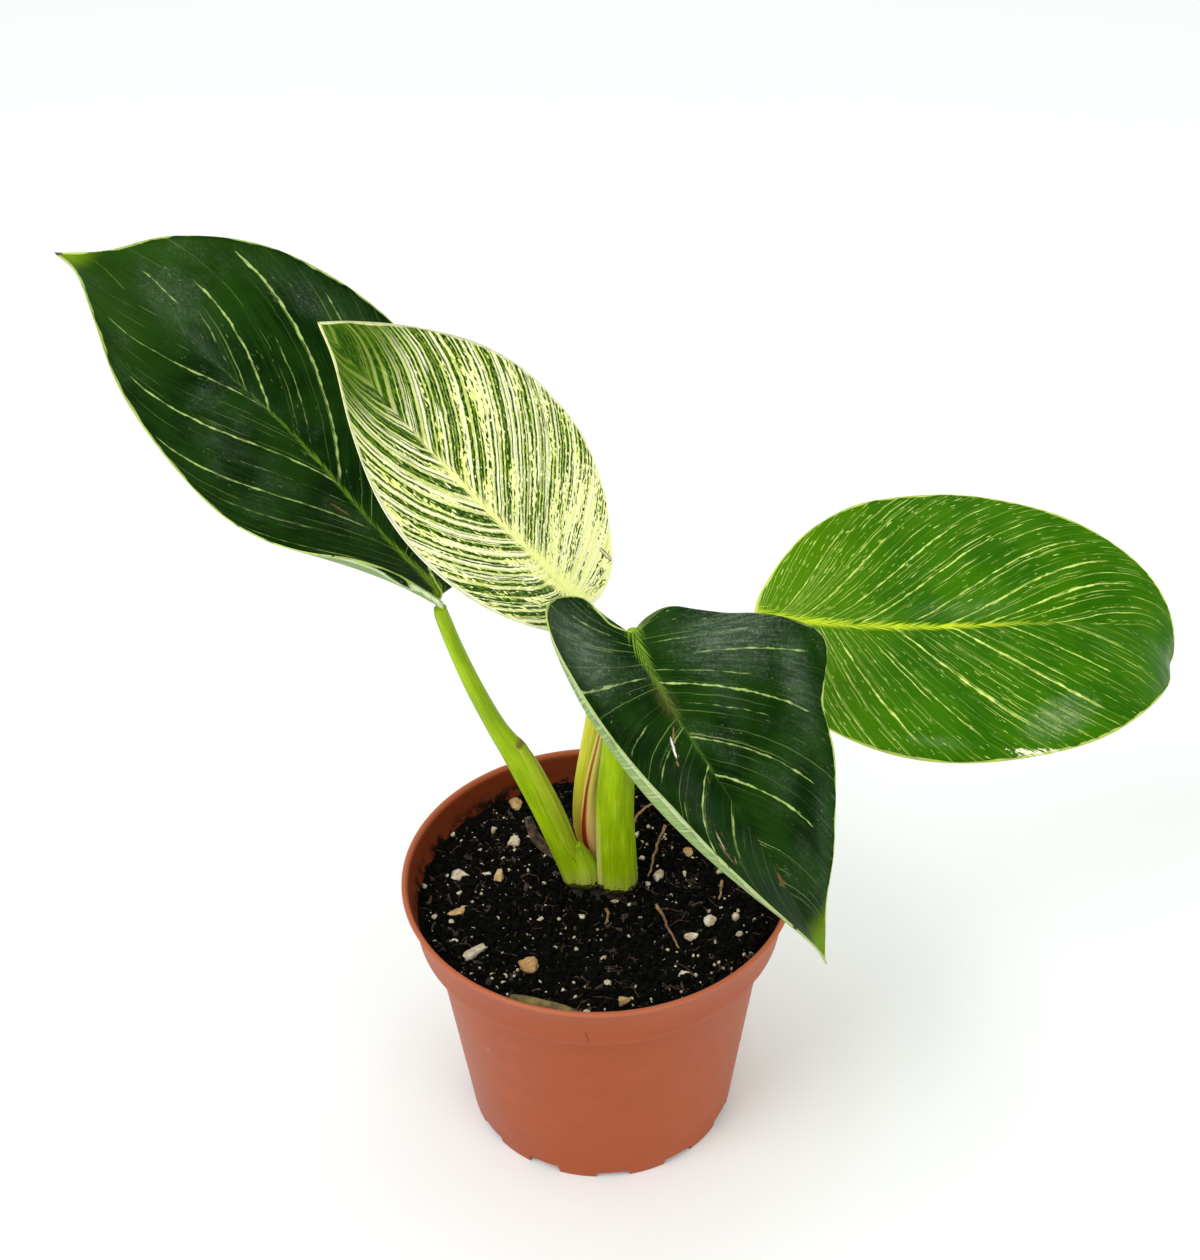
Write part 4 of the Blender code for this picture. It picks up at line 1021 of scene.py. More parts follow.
# Stations up every stalk: x, y, z, half width, half depth.
PETIOLES = {
    "petiole_left": (
        (-5.6, 4.8, 83.4, 5.0, 3.9), (-7.9, 4.9, 90, 4.6, 3.6), (-10.4, 5.0, 97, 4.3, 3.3),
        (-15.0, 5.0, 112, 4.6, 3.3), (-22.0, 5.0, 130, 4.3, 3.1), (-28.6, 5.0, 143, 3.0, 2.8),
        (-34.6, 5.0, 158, 2.6, 2.5), (-39.2, 5.0, 172, 2.3, 2.3), (-42.2, 4.8, 183, 2.1, 2.1),
        (-42.8, 4.9, 186.4, 1.8, 1.8)),
    "petiole_centre": (
        (-2.2, 15.5, 83.3, 2.4, 2.2), (-5.0, 15.2, 97, 2.4, 2.2), (-4.6, 15.0, 112, 2.3, 2.2),
        (-2.4, 15.0, 127, 2.3, 2.1), (-0.4, 15.4, 141, 2.2, 2.1), (0.2, 17.0, 160, 2.0, 2.0),
        (-1.2, 19.0, 176.2, 1.5, 1.5)),
    "petiole_front": (
        (6.2, 2.0, 83.3, 6.0, 4.8), (5.6, 2.0, 104, 5.7, 4.6), (5.5, 1.6, 121, 5.0, 4.1),
        (6.2, 0.2, 140, 4.1, 3.5), (8.0, -3.2, 160, 3.2, 2.9), (10.0, -8.6, 178, 2.6, 2.4),
        (11.0, -12.7, 189.2, 1.9, 1.7)),
    "petiole_right": (
        (8.0, 14.0, 83.3, 3.4, 3.2), (8.2, 15.5, 106, 3.3, 3.1), (10.0, 18.0, 127, 3.0, 2.9),
        (18.0, 23.0, 145, 2.7, 2.6), (32.0, 29.0, 157, 2.4, 2.3), (46.0, 31.8, 161.6, 1.8, 1.7)),
}
SHEATHS = {
    "new_leaf_sheath": (
        (-0.4, 10.0, 83.3, 1.6, 1.4), (-2.2, 9.6, 98, 2.7, 1.8), (-1.7, 9.2, 111, 2.6, 1.8),
        (-0.4, 8.6, 122, 2.4, 1.7), (1.9, 8.0, 135, 2.0, 1.5), (3.6, 7.0, 147, 0.9, 0.8)),
    "dried_sheath": (
        (-8.6, 14.2, 83.2, 1.4, 0.4), (-14.5, 15.0, 85.6, 1.8, 0.5), (-19.0, 15.4, 91, 1.8, 0.5),
        (-21.5, 16.0, 99, 1.0, 0.4)),
    "cut_sheath": (
        (-3.5, 3.9, 83.3, 4.9, 4.0), (-3.9, 4.0, 88, 4.3, 3.7), (-4.6, 4.2, 92, 3.3, 3.1),
        (-5.4, 4.0, 95.6, 2.0, 2.4), (-5.9, 3.8, 98.5, 0.6, 1.6)),
}
# The sheath's wing on the left petiole: its foot and top along the stalk, its turn and its bow.
WING_FOOT = 0.06
WING_SPAN = 0.52
WING_TOP = 0.50
WING_TURN = -0.45
WING_BOW = 1.05


def round_section(turn, f):
    """A stalk's section with a shallow groove on its upper side and faint ribs."""
    groove = 0.16 * np.exp(-((turn - math.pi * 0.5) / 0.5) ** 2)
    return 1.0 - groove + 0.012 * np.cos(11 * turn + 3.0 * f)


def winged_section(turn, f):
    """The left petiole's section: its lower half carries the edge of an old sheath on the right."""
    held = round_section(turn, f)
    if f > WING_TOP:
        return held
    groove = WING_TURN - WING_BOW * math.sin(math.pi * (f - WING_FOOT) / WING_SPAN)
    past = (turn - groove + math.pi) % (2 * math.pi) - math.pi
    lip = 0.09 * np.clip(past / 0.12, 0, 1) * np.clip((1.6 - past) / 0.8, 0, 1)
    cut = 0.05 * np.exp(-((past + 0.04) / 0.09) ** 2)
    nub = 1.0 + 1.6 * max(0.0, 1.0 - abs(f - WING_TOP + 0.014) / 0.02)
    return held + lip * nub - cut


def broad_section(turn, f):
    """The flattened foot of a petiole, ribbed lengthwise, with its sheath's edge on the left."""
    ribs = 0.012 * np.cos(13 * turn + 2.0 * f) + 0.008 * np.cos(23 * turn)
    edge = 0.06 * np.exp(-((turn - math.pi * 1.05) / 0.16) ** 2)
    dent = 0.07 * np.exp(-((turn - math.pi * 1.18) / 0.14) ** 2)
    square = 0.05 * np.cos(2 * turn) ** 2 - 0.04
    return 1.0 + ribs + (1.0 - f) * (edge - dent + square)


def flat_section(turn, f):
    """A thin sheath's section, torn towards its end."""
    torn = 0.9 * max(0.0, f - 0.7) * np.cos(7 * turn + 1.0)
    return 1.0 + 0.04 * np.cos(5 * turn + 4.0 * f) + torn


# ---- pot --------------------------------------------------------------------------------------
POT_SEGMENTS = 288
RIM_RADIUS = (pot_high[0] - pot_low[0]) / 2 / MM
COLLAR_HEIGHT = 16.8
COLLAR_LOW_RADIUS = 55.9
LEDGE = POT_HEIGHT - COLLAR_HEIGHT
BODY_TOP_RADIUS = 51.8
BODY_FOOT_RADIUS = 42.4
WALL = 1.1
FLOOR_UNDERSIDE = 3.6
FLOOR_TOP = FLOOR_UNDERSIDE + 1.3
FOOT_RING_WIDTH = 3.2
FOOT_COUNT = 12
FIRST_NOTCH = 4.0
NOTCH_WIDTH = 11.0
NOTCH_DEPTH = 2.4
DEEP_NOTCH_DEPTH = 3.2
DRAIN_HOLE_RADIUS = 3.0
DRAIN_RING_RADIUS = 26.0
DRAIN_HOLE_COUNT = 8
HOLE_SIDES = 32
SHARP_EDGE = 34
BOX_SIDES = ((0, 1, 2, 3), (7, 6, 5, 4), (0, 4, 5, 1), (1, 5, 6, 2), (2, 6, 7, 3), (3, 7, 4, 0))
GAP = 0.3


def turned(profile, segments):
    """Points and faces of a ring turned about Z from a closed profile."""
    turn = circle(segments)
    points, faces = [], []
    for ring, (radius, height) in enumerate(profile):
        points.append(np.stack([radius * np.cos(turn), radius * np.sin(turn),
                                np.full(segments, float(height))], -1))
        low, high = ring * segments, (ring + 1) % len(profile) * segments
        for k in range(segments):
            after = (k + 1) % segments
            faces.append((low + k, low + after, high + after, high + k))
    return np.vstack(points), faces


def inner_wall(height):
    return BODY_FOOT_RADIUS + (BODY_TOP_RADIUS - BODY_FOOT_RADIUS) * height / LEDGE - WALL


def notch_cutter():
    """The wedges that part the foot ring into feet. Every third one cuts deeper."""
    corners, faces = [], []
    for k in range(FOOT_COUNT):
        turn = math.radians(FIRST_NOTCH + 360.0 / FOOT_COUNT * k)
        out = np.array((math.cos(turn), math.sin(turn), 0.0))
        along = np.array((-math.sin(turn), math.cos(turn), 0.0))
        faces += [[len(corners) + corner for corner in side] for side in BOX_SIDES]
        top = DEEP_NOTCH_DEPTH if k % 3 == 2 else NOTCH_DEPTH
        for height, narrow in ((-1.0, 0.0), (top, 0.5)):
            for reach, shift in ((-7, -1), (4, -1), (4, 1), (-7, 1)):
                corners.append(out * (BODY_FOOT_RADIUS + reach)
                               + along * shift * (NOTCH_WIDTH / 2 - narrow) + (0, 0, height))
    return corners, faces


def hole_cutter():
    """Upright rods for the drain holes: one in the middle, the others in a ring."""
    turns = 2 * np.pi * (np.arange(DRAIN_HOLE_COUNT) + 0.5) / DRAIN_HOLE_COUNT
    places = [(0.0, 0.0), *zip(DRAIN_RING_RADIUS * np.cos(turns), DRAIN_RING_RADIUS * np.sin(turns))]
    low, high = FLOOR_UNDERSIDE - 2, FLOOR_UNDERSIDE + 3
    corners, faces = [], []
    for x, y in places:
        faces += [[len(corners) + corner for corner in face] for face in closed_skin(2, HOLE_SIDES)]
        rings = [(x + DRAIN_HOLE_RADIUS * math.cos(angle), y + DRAIN_HOLE_RADIUS * math.sin(angle), height)
                 for height in (low, high) for angle in circle(HOLE_SIDES)]
        corners += [(x, y, low), *rings, (x, y, high)]
    return corners, faces


def pot_piece(finish):
    """The pot with rounded edges: feet, drained floor, tapered body, ledge, collar and lip."""
    inner = BODY_FOOT_RADIUS - FOOT_RING_WIDTH
    profile = [
        (0.6, FLOOR_UNDERSIDE), (14.0, FLOOR_UNDERSIDE), (inner - 6.0, FLOOR_UNDERSIDE),
        (inner - 0.5, FLOOR_UNDERSIDE), (inner - 0.1, FLOOR_UNDERSIDE - 0.4),
        (inner, 0.4), (inner + 0.3, 0.0), (BODY_FOOT_RADIUS - 0.5, 0.0),
        (BODY_FOOT_RADIUS - 0.1, 0.2), (BODY_FOOT_RADIUS + 0.1, 0.7), (BODY_FOOT_RADIUS + 0.4, 3.0),
        (BODY_FOOT_RADIUS + 3.3, 26.0), (BODY_FOOT_RADIUS + 6.4, 50.0),
        (BODY_TOP_RADIUS - 0.1, LEDGE - 2.6), (BODY_TOP_RADIUS + 0.1, LEDGE - 1.2),
        (BODY_TOP_RADIUS + 0.6, LEDGE - 0.3), (BODY_TOP_RADIUS + 1.3, LEDGE),
        (COLLAR_LOW_RADIUS - 0.6, LEDGE), (COLLAR_LOW_RADIUS, LEDGE + 0.2),
        (COLLAR_LOW_RADIUS + 0.3, LEDGE + 0.8), (COLLAR_LOW_RADIUS + 0.35, LEDGE + 2.5),
        (RIM_RADIUS - 2.2, POT_HEIGHT - 6.0), (RIM_RADIUS - 1.2, POT_HEIGHT - 2.0),
        (RIM_RADIUS - 0.9, POT_HEIGHT - 1.5), (RIM_RADIUS - 0.2, POT_HEIGHT - 1.2),
        (RIM_RADIUS, POT_HEIGHT - 0.8), (RIM_RADIUS - 0.1, POT_HEIGHT - 0.3),
        (RIM_RADIUS - 0.5, POT_HEIGHT), (RIM_RADIUS - 1.2, POT_HEIGHT - 0.05),
        (RIM_RADIUS - 1.7, POT_HEIGHT - 0.5), (RIM_RADIUS - 2.0, POT_HEIGHT - 1.6),
        (COLLAR_LOW_RADIUS - 1.0, LEDGE + 2.2), (COLLAR_LOW_RADIUS - 1.5, LEDGE + WALL + 0.1),
        (inner_wall(LEDGE) + 0.6, LEDGE + WALL), (inner_wall(LEDGE), LEDGE - 0.4),
        (inner_wall(FLOOR_TOP), FLOOR_TOP + 0.8), (inner_wall(FLOOR_TOP) - 0.8, FLOOR_TOP),
        (inner - 6.0, FLOOR_TOP), (14.0, FLOOR_TOP), (0.6, FLOOR_TOP)]
    obj = link_mesh("pot_shell", *turned(profile, POT_SEGMENTS), finish)
    for name, cutter in (("feet", notch_cutter()), ("drain", hole_cutter())):
        plug = link_mesh("cutter_" + name, *cutter, finish, smooth=False)
        cut = obj.modifiers.new(name, "BOOLEAN")
        cut.operation = "DIFFERENCE"
        cut.object = plug
        baked(obj)
        bpy.data.objects.remove(plug, do_unlink=True)
    obj.data.set_sharp_from_angle(angle=math.radians(SHARP_EDGE))
    return obj


def pot_finish():
    """Matt terracotta-coloured plastic: faint flow marks, a painted highlight on the lip, painted shade on
    the inner wall, specks and soil dust inside.
    """
    b = Finish("pot_plastic_skin")
    place = b.place()
    x, y, height = b.split(place)
    broad = b.cloud(place, 14.0, 3.0)
    flow = b.cloud(b.point(x * 70.0, y * 70.0, height * 160.0), 1.0, 3.0)
    # A painted highlight along the lip.
    lip = height.ramp((POT_HEIGHT - 1.8) * MM, (POT_HEIGHT - 0.6) * MM)
    away, chance = b.cells(place, 130.0)
    pale_speck = away.ramp(0.05, 0.13, 1.0, 0.0) * chance.ramp(0.972, 0.976)
    dark_speck = away.ramp(0.04, 0.1, 1.0, 0.0) * chance.ramp(0.012, 0.016, 1.0, 0.0)
    off_x, off_y = x - POT_AXIS[0] * MM, y - POT_AXIS[1] * MM
    radius = (off_x * off_x + off_y * off_y).root()
    low = LEDGE + 2.5
    slope = (RIM_RADIUS - 2.55 - COLLAR_LOW_RADIUS) / (POT_HEIGHT - 6.0 - low)
    wall = (height - low * MM) * slope + (COLLAR_LOW_RADIUS - 0.25) * MM
    inside = (wall - radius).ramp(-0.0001, 0.0001) * height.ramp(low * MM, (low + 1.0) * MM)
    dirt = b.cloud(place, 260.0, 4.0, 0.7).ramp(0.46, 0.54)
    dusty = (height + b.cloud(place, 60.0, 3.0) * 0.006).ramp(0.0845, 0.0895, 1.0, 0.0)
    colour = b.coats(
        b.mix(broad.ramp(0.3, 0.7), (155, 67, 20), (163, 73, 25)),
        (flow.ramp(0.45, 0.75) * 0.15, (180, 94, 48)), (lip * 0.3, (214, 128, 96)),
        (pale_speck * 0.7, (228, 168, 138)), (dark_speck * 0.8, (60, 34, 26)),
        # Painted shade on the inner wall, then soil dust near the soil's edge.
        (inside * 0.8, (104, 40, 18)), (inside * dirt * dusty, (16, 11, 8)))
    return b.feed(Base_Color=colour, Roughness=broad.ramp(0.3, 0.7, 0.40, 0.5),
                  Normal=b.bump(b.cloud(place, 900.0, 3.0, 0.6), 0.00006, 0.6), Specular_IOR_Level=0.28)


# ---- soil -------------------------------------------------------------------------------------
def ground(x, y):
    """The soil's height in mm at a place off the pot's axis."""
    broad = noise.fractal(Vector((x * 0.045, y * 0.045, 3.1)), 0.8, 2.0, 4)
    fine = noise.noise(Vector((x * 0.55, y * 0.55, 7.7)))
    clods = noise.noise(Vector((x * 0.21, y * 0.21, 1.3)))
    return SOIL_TOP + 0.15 + 0.9 * broad + 0.35 * fine + 0.6 * clods


def soil_bed(finish):
    """The soil's crumbled top, its sides against the pot's wall and its underside."""
    bottom = FLOOR_TOP + GAP
    rings, segments = 84, 252
    edge = COLLAR_LOW_RADIUS - GAP + 0.1
    points = [(0.0, 0.0, ground(0, 0))]
    for ring in range(1, rings + 1):
        radius = edge * (ring / rings) ** 0.92
        for angle in circle(segments):
            x, y = radius * math.cos(angle), radius * math.sin(angle)
            points.append((x, y, ground(x, y)))
    below = ((COLLAR_LOW_RADIUS - 1.0 - GAP, LEDGE + 2.2),
             (COLLAR_LOW_RADIUS - 1.6 - GAP, LEDGE + WALL + GAP),
             (inner_wall(LEDGE) - GAP, LEDGE + WALL + GAP), (inner_wall(LEDGE) - GAP - 0.1, LEDGE - 0.4),
             (inner_wall(bottom) - GAP - 0.2, bottom + 1.2), (inner_wall(bottom) - 1.2, bottom))
    points += [(radius * math.cos(angle), radius * math.sin(angle), height)
               for radius, height in below for angle in circle(segments)]
    points.append((0.0, 0.0, bottom))
    return link_mesh("soil_bed", points, closed_skin(rings + len(below), segments), finish)


def soil_finish():
    """Moist peat: near black, with brown crumbs and a faint wet glint."""
    b = Finish("peat_skin")
    place = b.place()
    crumbs = b.cloud(place, 700.0, 4.0, 0.65)
    away, chance = b.cells(place, 850.0)
    fleck = away.ramp(0.15, 0.3, 1.0, 0.0) * chance.ramp(0.965, 0.975)
    colour = b.coats(
        b.mix(crumbs.ramp(0.35, 0.7), (2, 2, 1), (13, 11, 7)),
        (b.cloud(place, 90.0, 3.0).ramp(0.5, 0.7) * 0.5, (5, 5, 4)), (fleck * 0.6, (150, 126, 92)))
    return b.feed(Base_Color=colour, Roughness=crumbs.ramp(0.4, 0.75, 0.95, 0.6),
                  Normal=b.bump(crumbs, 0.0009), Specular_IOR_Level=0.08)


def grain_finish(name, first, second, stain, size=260.0):
    """Rough mineral or bark skin: mottled, pitted and stained in its hollows."""
    b = Finish(name)
    place = b.place()
    pits = b.cloud(place, size * 4.5, 3.0, 0.6)
    colour = b.coats(b.mix(b.cloud(place, size, 4.0, 0.6).ramp(0.35, 0.65), first, second),
                     (pits.ramp(0.56, 0.7, 0.0, 0.8), stain))
    return b.feed(Base_Color=colour, Roughness=pits.ramp(0.3, 0.7, 0.75, 0.95), Normal=b.bump(pits, 0.0005))


def fibre_finish(name, first, second):
    """Dry plant fibre, streaked lengthwise by its own noise."""
    b = Finish(name)
    place = b.place()
    mottle = b.cloud(place, 330.0, 3.0, 0.6)
    return b.feed(Base_Color=b.mix(mottle.ramp(0.35, 0.65), first, second),
                  Roughness=mottle.ramp(0.3, 0.7, 0.6, 0.85), Normal=b.bump(b.cloud(place, 1500.0), 0.0002))


# ---- what is scattered over the soil ----------------------------------------------------------
SCATTER_REACH = 53.5
TURN_SEED, SIZE_SEED, SHAPE_SEED = 11, 12, 13
FULL_TURN = 6.283


class Tree(Board):
    """A Geometry Nodes tree that strews shapes over a bed. Its sizes are named inputs."""

    def __init__(self, name, sizes):
        super().__init__(bpy.data.node_groups.new(name, "GeometryNodeTree"))
        sockets = self.tree.interface
        sockets.new_socket("Bed", in_out="INPUT", socket_type="NodeSocketGeometry")
        self.sizes = {}
        for label, value in sizes.items():
            kind = "NodeSocketInt" if isinstance(value, int) else "NodeSocketFloat"
            self.sizes[sockets.new_socket(label, in_out="INPUT", socket_type=kind).identifier] = value
        sockets.new_socket("Made", in_out="OUTPUT", socket_type="NodeSocketGeometry")
        self.given = {socket.name: Wire(self, socket) for socket in self.put("NodeGroupInput").outputs}

    def chance(self, low, high, seed):
        """A number or a vector drawn at random for every instance."""
        kind, first, out = ("FLOAT_VECTOR", 0, 0) if isinstance(low, tuple) else ("FLOAT", 2, 1)
        return self.value("FunctionNodeRandomValue", {first: low, first + 1: high, "Seed": seed}, out,
                          data_type=kind)

    def scaled(self, vector, size):
        return self.value("ShaderNodeVectorMath", {0: vector, 3: size}, operation="SCALE")

    def ball(self):
        return self.value("GeometryNodeMeshIcoSphere", {"Radius": 1.0, "Subdivisions": 1})

    def strewn(self, shape, lean=3.14, uneven=True):
        """A shape at random places over the bed, turned and sized at random."""
        given = self.given
        spots = self.value("GeometryNodeDistributePointsOnFaces",
                           {"Mesh": given["Bed"], "Density": given["Density"], "Seed": given["Seed"]})
        turn = self.chance((-lean, -lean, 0), (lean, lean, FULL_TURN), TURN_SEED)
        share = self.sum("POWER", self.chance(0.0, 1.0, SIZE_SEED), given["Power"])
        size = given["Smallest"] + (given["Largest"] - given["Smallest"]) * share
        scale = (self.scaled(self.chance((0.6, 0.6, 0.6), (1.0, 1.0, 1.0), SHAPE_SEED), size) if uneven
                 else self.point(size, size, size))
        placed = self.value("GeometryNodeInstanceOnPoints",
                            {"Points": spots, "Instance": shape, "Scale": scale,
                             "Rotation": self.value("FunctionNodeEulerToRotation", {0: turn})})
        return self.value("GeometryNodeRealizeInstances", {0: placed})

    def roughened(self, geometry, scale, amount):
        """Every point pushed about by noise."""
        spot = self.value("GeometryNodeInputPosition")
        grain = self.value("ShaderNodeTexNoise", {"Vector": spot, "Scale": scale, "Detail": 2.0}, 1)
        centred = self.value("ShaderNodeVectorMath", {0: grain, 1: (0.5, 0.5, 0.5)}, operation="SUBTRACT")
        return self.value("GeometryNodeSetPosition",
                          {"Geometry": geometry, "Offset": self.scaled(centred, self.given[amount])})

    def grow(self, name, bed, geometry, finish, smooth=True):
        """End the tree, run it on a bed and keep the result as a plain mesh."""
        shaded = self.value("GeometryNodeSetShadeSmooth", {0: geometry, "Shade Smooth": smooth})
        solid = self.value("GeometryNodeRealizeInstances", {0: shaded})
        self.put("NodeGroupOutput",
                 {0: self.value("GeometryNodeSetMaterial", {0: solid, "Material": finish})})
        obj = place_object(name, bed.copy())
        modifier = obj.modifiers.new("scatter", "NODES")
        modifier.node_group = self.tree
        for identifier, value in self.sizes.items():
            modifier[identifier] = value
        baked(obj)
        if not obj.data.materials:
            obj.data.materials.append(finish)
        return obj


def scatter_bed(reach, count=56):
    """A sheet that follows the soil's top out to a radius, for pieces to be scattered on."""
    stops = [reach * (2 * k / count - 1) for k in range(count + 1)]
    faces = []
    for row in range(count):
        for column in range(count):
            x, y = (reach * (2 * (k + 0.5) / count - 1) for k in (column, row))
            if math.hypot(x, y) <= reach - 0.5:
                low = row * (count + 1) + column
                faces.append((low, low + 1, low + count + 2, low + count + 1))
    return raw_mesh("scatter bed", [(x, y, ground(x, y)) for y in stops for x in stops], faces)


def crumbs(name, bed, finish, **sizes):
    """Small uneven crumbs and grains."""
    tree = Tree(name, sizes)
    return tree.grow(name, bed, tree.roughened(tree.strewn(tree.ball()), 900.0, "Roughness"), finish)


def shreds(name, bed, finish, **sizes):
    """Flat splinters of bark and stalk lying on the soil."""
    tree = Tree(name, sizes)
    flat = tree.value("GeometryNodeTransform", {"Geometry": tree.ball(), "Scale": (1.0, 0.26, 0.10)})
    made = tree.roughened(tree.strewn(flat, 0.35), 500.0, "Roughness")
    return tree.grow(name, bed, made, finish, smooth=False)


def fibres(name, bed, finish, **sizes):
    """Thin bent fibres lying over the soil."""
    tree = Tree(name, sizes)
    line = tree.value("GeometryNodeCurveQuadraticBezier",
                      {"Resolution": 8, "Start": (-0.5, 0, 0), "Middle": (0, 0.28, 0.05), "End": (0.5, 0, 0)})
    bent = tree.roughened(tree.strewn(line, 0.25, uneven=False), 160.0, "Bend")
    ring = tree.value("GeometryNodeCurvePrimitiveCircle",
                      {"Resolution": 5, "Radius": tree.given["Thickness"]})
    skin = tree.value("GeometryNodeCurveToMesh", {0: bent, 1: ring, "Fill Caps": True})
    return tree.grow(name, bed, skin, finish)


# ---- lumps, roots and bark --------------------------------------------------------------------
# x, y, half length, half width, half height, turn in degrees
LUMPS = {
    "bark_01": (-27.0, 43.0, 3.0, 2.6, 2.4, 10), "grit_02": (-26.6, 24.8, 3.0, 2.4, 1.8, 70),
    "grit_03": (-43.8, 10.2, 4.2, 2.2, 1.6, 5), "bark_04": (-30.7, 9.4, 2.0, 3.2, 1.6, -10),
    "bark_05": (-43.5, -5.2, 4.6, 1.8, 1.5, 15), "grit_06": (-37.2, -24.0, 4.8, 3.0, 1.8, 20),
    "bark_07": (-20.5, -31.0, 4.2, 3.4, 2.6, 35), "grit_08": (18.8, 8.6, 2.6, 2.2, 1.9, 40),
    "grit_09": (27.7, -19.0, 3.4, 1.8, 1.5, 0), "grit_10": (33.8, -13.0, 2.8, 2.6, 2.2, 60),
    "bark_11": (28.4, 18.4, 2.0, 2.6, 1.8, 0), "grit_12": (41.4, -10.6, 1.8, 1.6, 1.4, 30),
    "grit_13": (25.2, -35.0, 2.4, 1.6, 1.4, 10), "bark_14": (6.8, -45.0, 2.8, 2.0, 1.5, 15),
}
SMALL_LUMPS = (
    (-33.6, 31.2, 1.6), (-46.3, 29.6, 1.4), (-35.1, 10.4, 1.7), (-54.2, 6.8, 1.6), (-50.3, -8.1, 1.5),
    (-44.7, -10.4, 1.3), (-43.1, 2.4, 1.2), (-43.4, -18.2, 1.5), (-18.2, -8.4, 1.6), (-5.4, -8.3, 1.9),
    (-3.3, -20.0, 1.2), (-6.9, -23.3, 1.0), (1.4, -27.3, 1.3), (2.5, -38.0, 1.6), (-3.7, -48.5, 1.8),
    (42.2, -18.1, 1.5), (47.7, -12.7, 1.4), (15.5, 5.0, 1.3), (13.6, 16.6, 1.8), (12.6, 27.6, 1.9),
    (27.1, 9.3, 1.4), (16.2, 31.4, 1.2), (4.8, -3.4, 1.7), (38.0, 10.0, 1.2), (-28.4, -36.0, 1.1),
    (34.0, -31.0, 1.0), (14.0, -33.5, 1.1), (-13.5, -19.0, 0.9), (21.0, -2.0, 1.0), (-37.5, 22.0, 1.0),
)
ROOT_STEPS = 30
ROOT_RADIUS = 0.5
ROOT_SEED = 4
ROOTS = {
    "root_back": ((21.5, 26.0, 5.5), (19.4, 20.0, 4.5), (17.0, 13.0, 2.2), (15.6, 7.6, 0.9)),
    "root_front": ((17.6, -5.0, 0.8), (19.6, -11.0, 1.6), (21.0, -17.0, 2.0), (24.0, -24.0, 0.8)),
    "root_stem": ((2.4, -6.6, 0.8), (2.9, -9.6, 1.0), (1.9, -13.0, 0.8)),
    "root_tan": ((11.0, 30.0, 0.9), (13.0, 35.0, 2.4), (18.0, 39.0, 3.4), (24.0, 40.0, 1.2)),
    "root_side": ((38.6, 5.0, 0.8), (38.2, 1.0, 1.6), (37.0, -3.4, 0.8)),
}
BARK_CURL_ENDS = ((-26.0, -43.0), (-7.4, -49.6))
CROWN_MIDDLE = (1.2, 7.2)


def lump_shape(shape, spec, seed, cuts=3):
    """Add one angular chip, a little sunk in the soil, to a mesh under construction."""
    x, y, long, wide, high, turn = spec
    rough = random.Random(seed)
    chip = bmesh.new()
    for _ in range(13):
        way = Vector([rough.gauss(0, 1) for _ in range(3)]).normalized() * rough.uniform(0.78, 1.05)
        chip.verts.new(way)
    spare = bmesh.ops.convex_hull(chip, input=chip.verts)
    loose = {part for part in spare["geom_interior"] + spare["geom_unused"]
             if isinstance(part, bmesh.types.BMVert)}
    bmesh.ops.delete(chip, geom=list(loose), context="VERTS")
    bmesh.ops.triangulate(chip, faces=chip.faces)
    bmesh.ops.subdivide_edges(chip, edges=chip.edges[:], cuts=cuts, use_grid_fill=True)
    bmesh.ops.triangulate(chip, faces=chip.faces)
    for _ in range(2):
        bmesh.ops.smooth_vert(chip, verts=chip.verts, factor=0.5, use_axis_x=True, use_axis_y=True,
                              use_axis_z=True)
    c, s = math.cos(math.radians(turn)), math.sin(math.radians(turn))
    middle = Vector((x, y, ground(x, y) + 0.45 * high)) + POT_AXIS
    for vertex in chip.verts:
        way = vertex.co
        pits = noise.noise(way * 3.0 + Vector((seed, 0, 0)))
        fine = noise.noise(way * 8.0 + Vector((0, seed, 0)))
        place = way * (1.1 + 0.18 * pits + 0.14 * fine)
        px, py, pz = place.x * long, place.y * wide, place.z * high
        vertex.co = (middle + Vector((px * c - py * s, px * s + py * c, pz))) * MM
    bmesh.ops.recalc_face_normals(chip, faces=chip.faces)
    made = bpy.data.meshes.new("chip")
    chip.to_mesh(made)
    chip.free()
    shape.from_mesh(made)
    bpy.data.meshes.remove(made)


def mesh_piece(name, shape, finish, smooth=True):
    """A piece from a mesh under construction, which ends with it."""
    mesh = bpy.data.meshes.new(name)
    shape.to_mesh(mesh)
    shape.free()
    if smooth:
        mesh.shade_smooth()
    mesh.materials.append(finish)
    return place_object(name, mesh)


def root_piece(node, finish):
    """A tapering, kinked root over the soil, seeded because noise_vector starts from the clock."""
    noise.seed_set(ROOT_SEED)
    stations = []
    for k, (x, y, height) in enumerate(through(ROOTS[node], ROOT_STEPS)):
        shake = noise.noise_vector(Vector((x * 0.5, y * 0.5, len(node)))) * 0.5
        lumpy = 1 + 0.2 * noise.noise(Vector((x, y, 5.0)))
        thick = ROOT_RADIUS * (1.05 - 0.5 * k / ROOT_STEPS) * lumpy
        stations.append((x + shake.x, y + shake.y, SOIL_TOP + GAP + height + 0.3 * shake.z, thick, thick))
    return stalk(node + "_strand", stations, lambda turn, f: 1.0 + 0.1 * np.cos(3 * turn), finish, 40, 10)


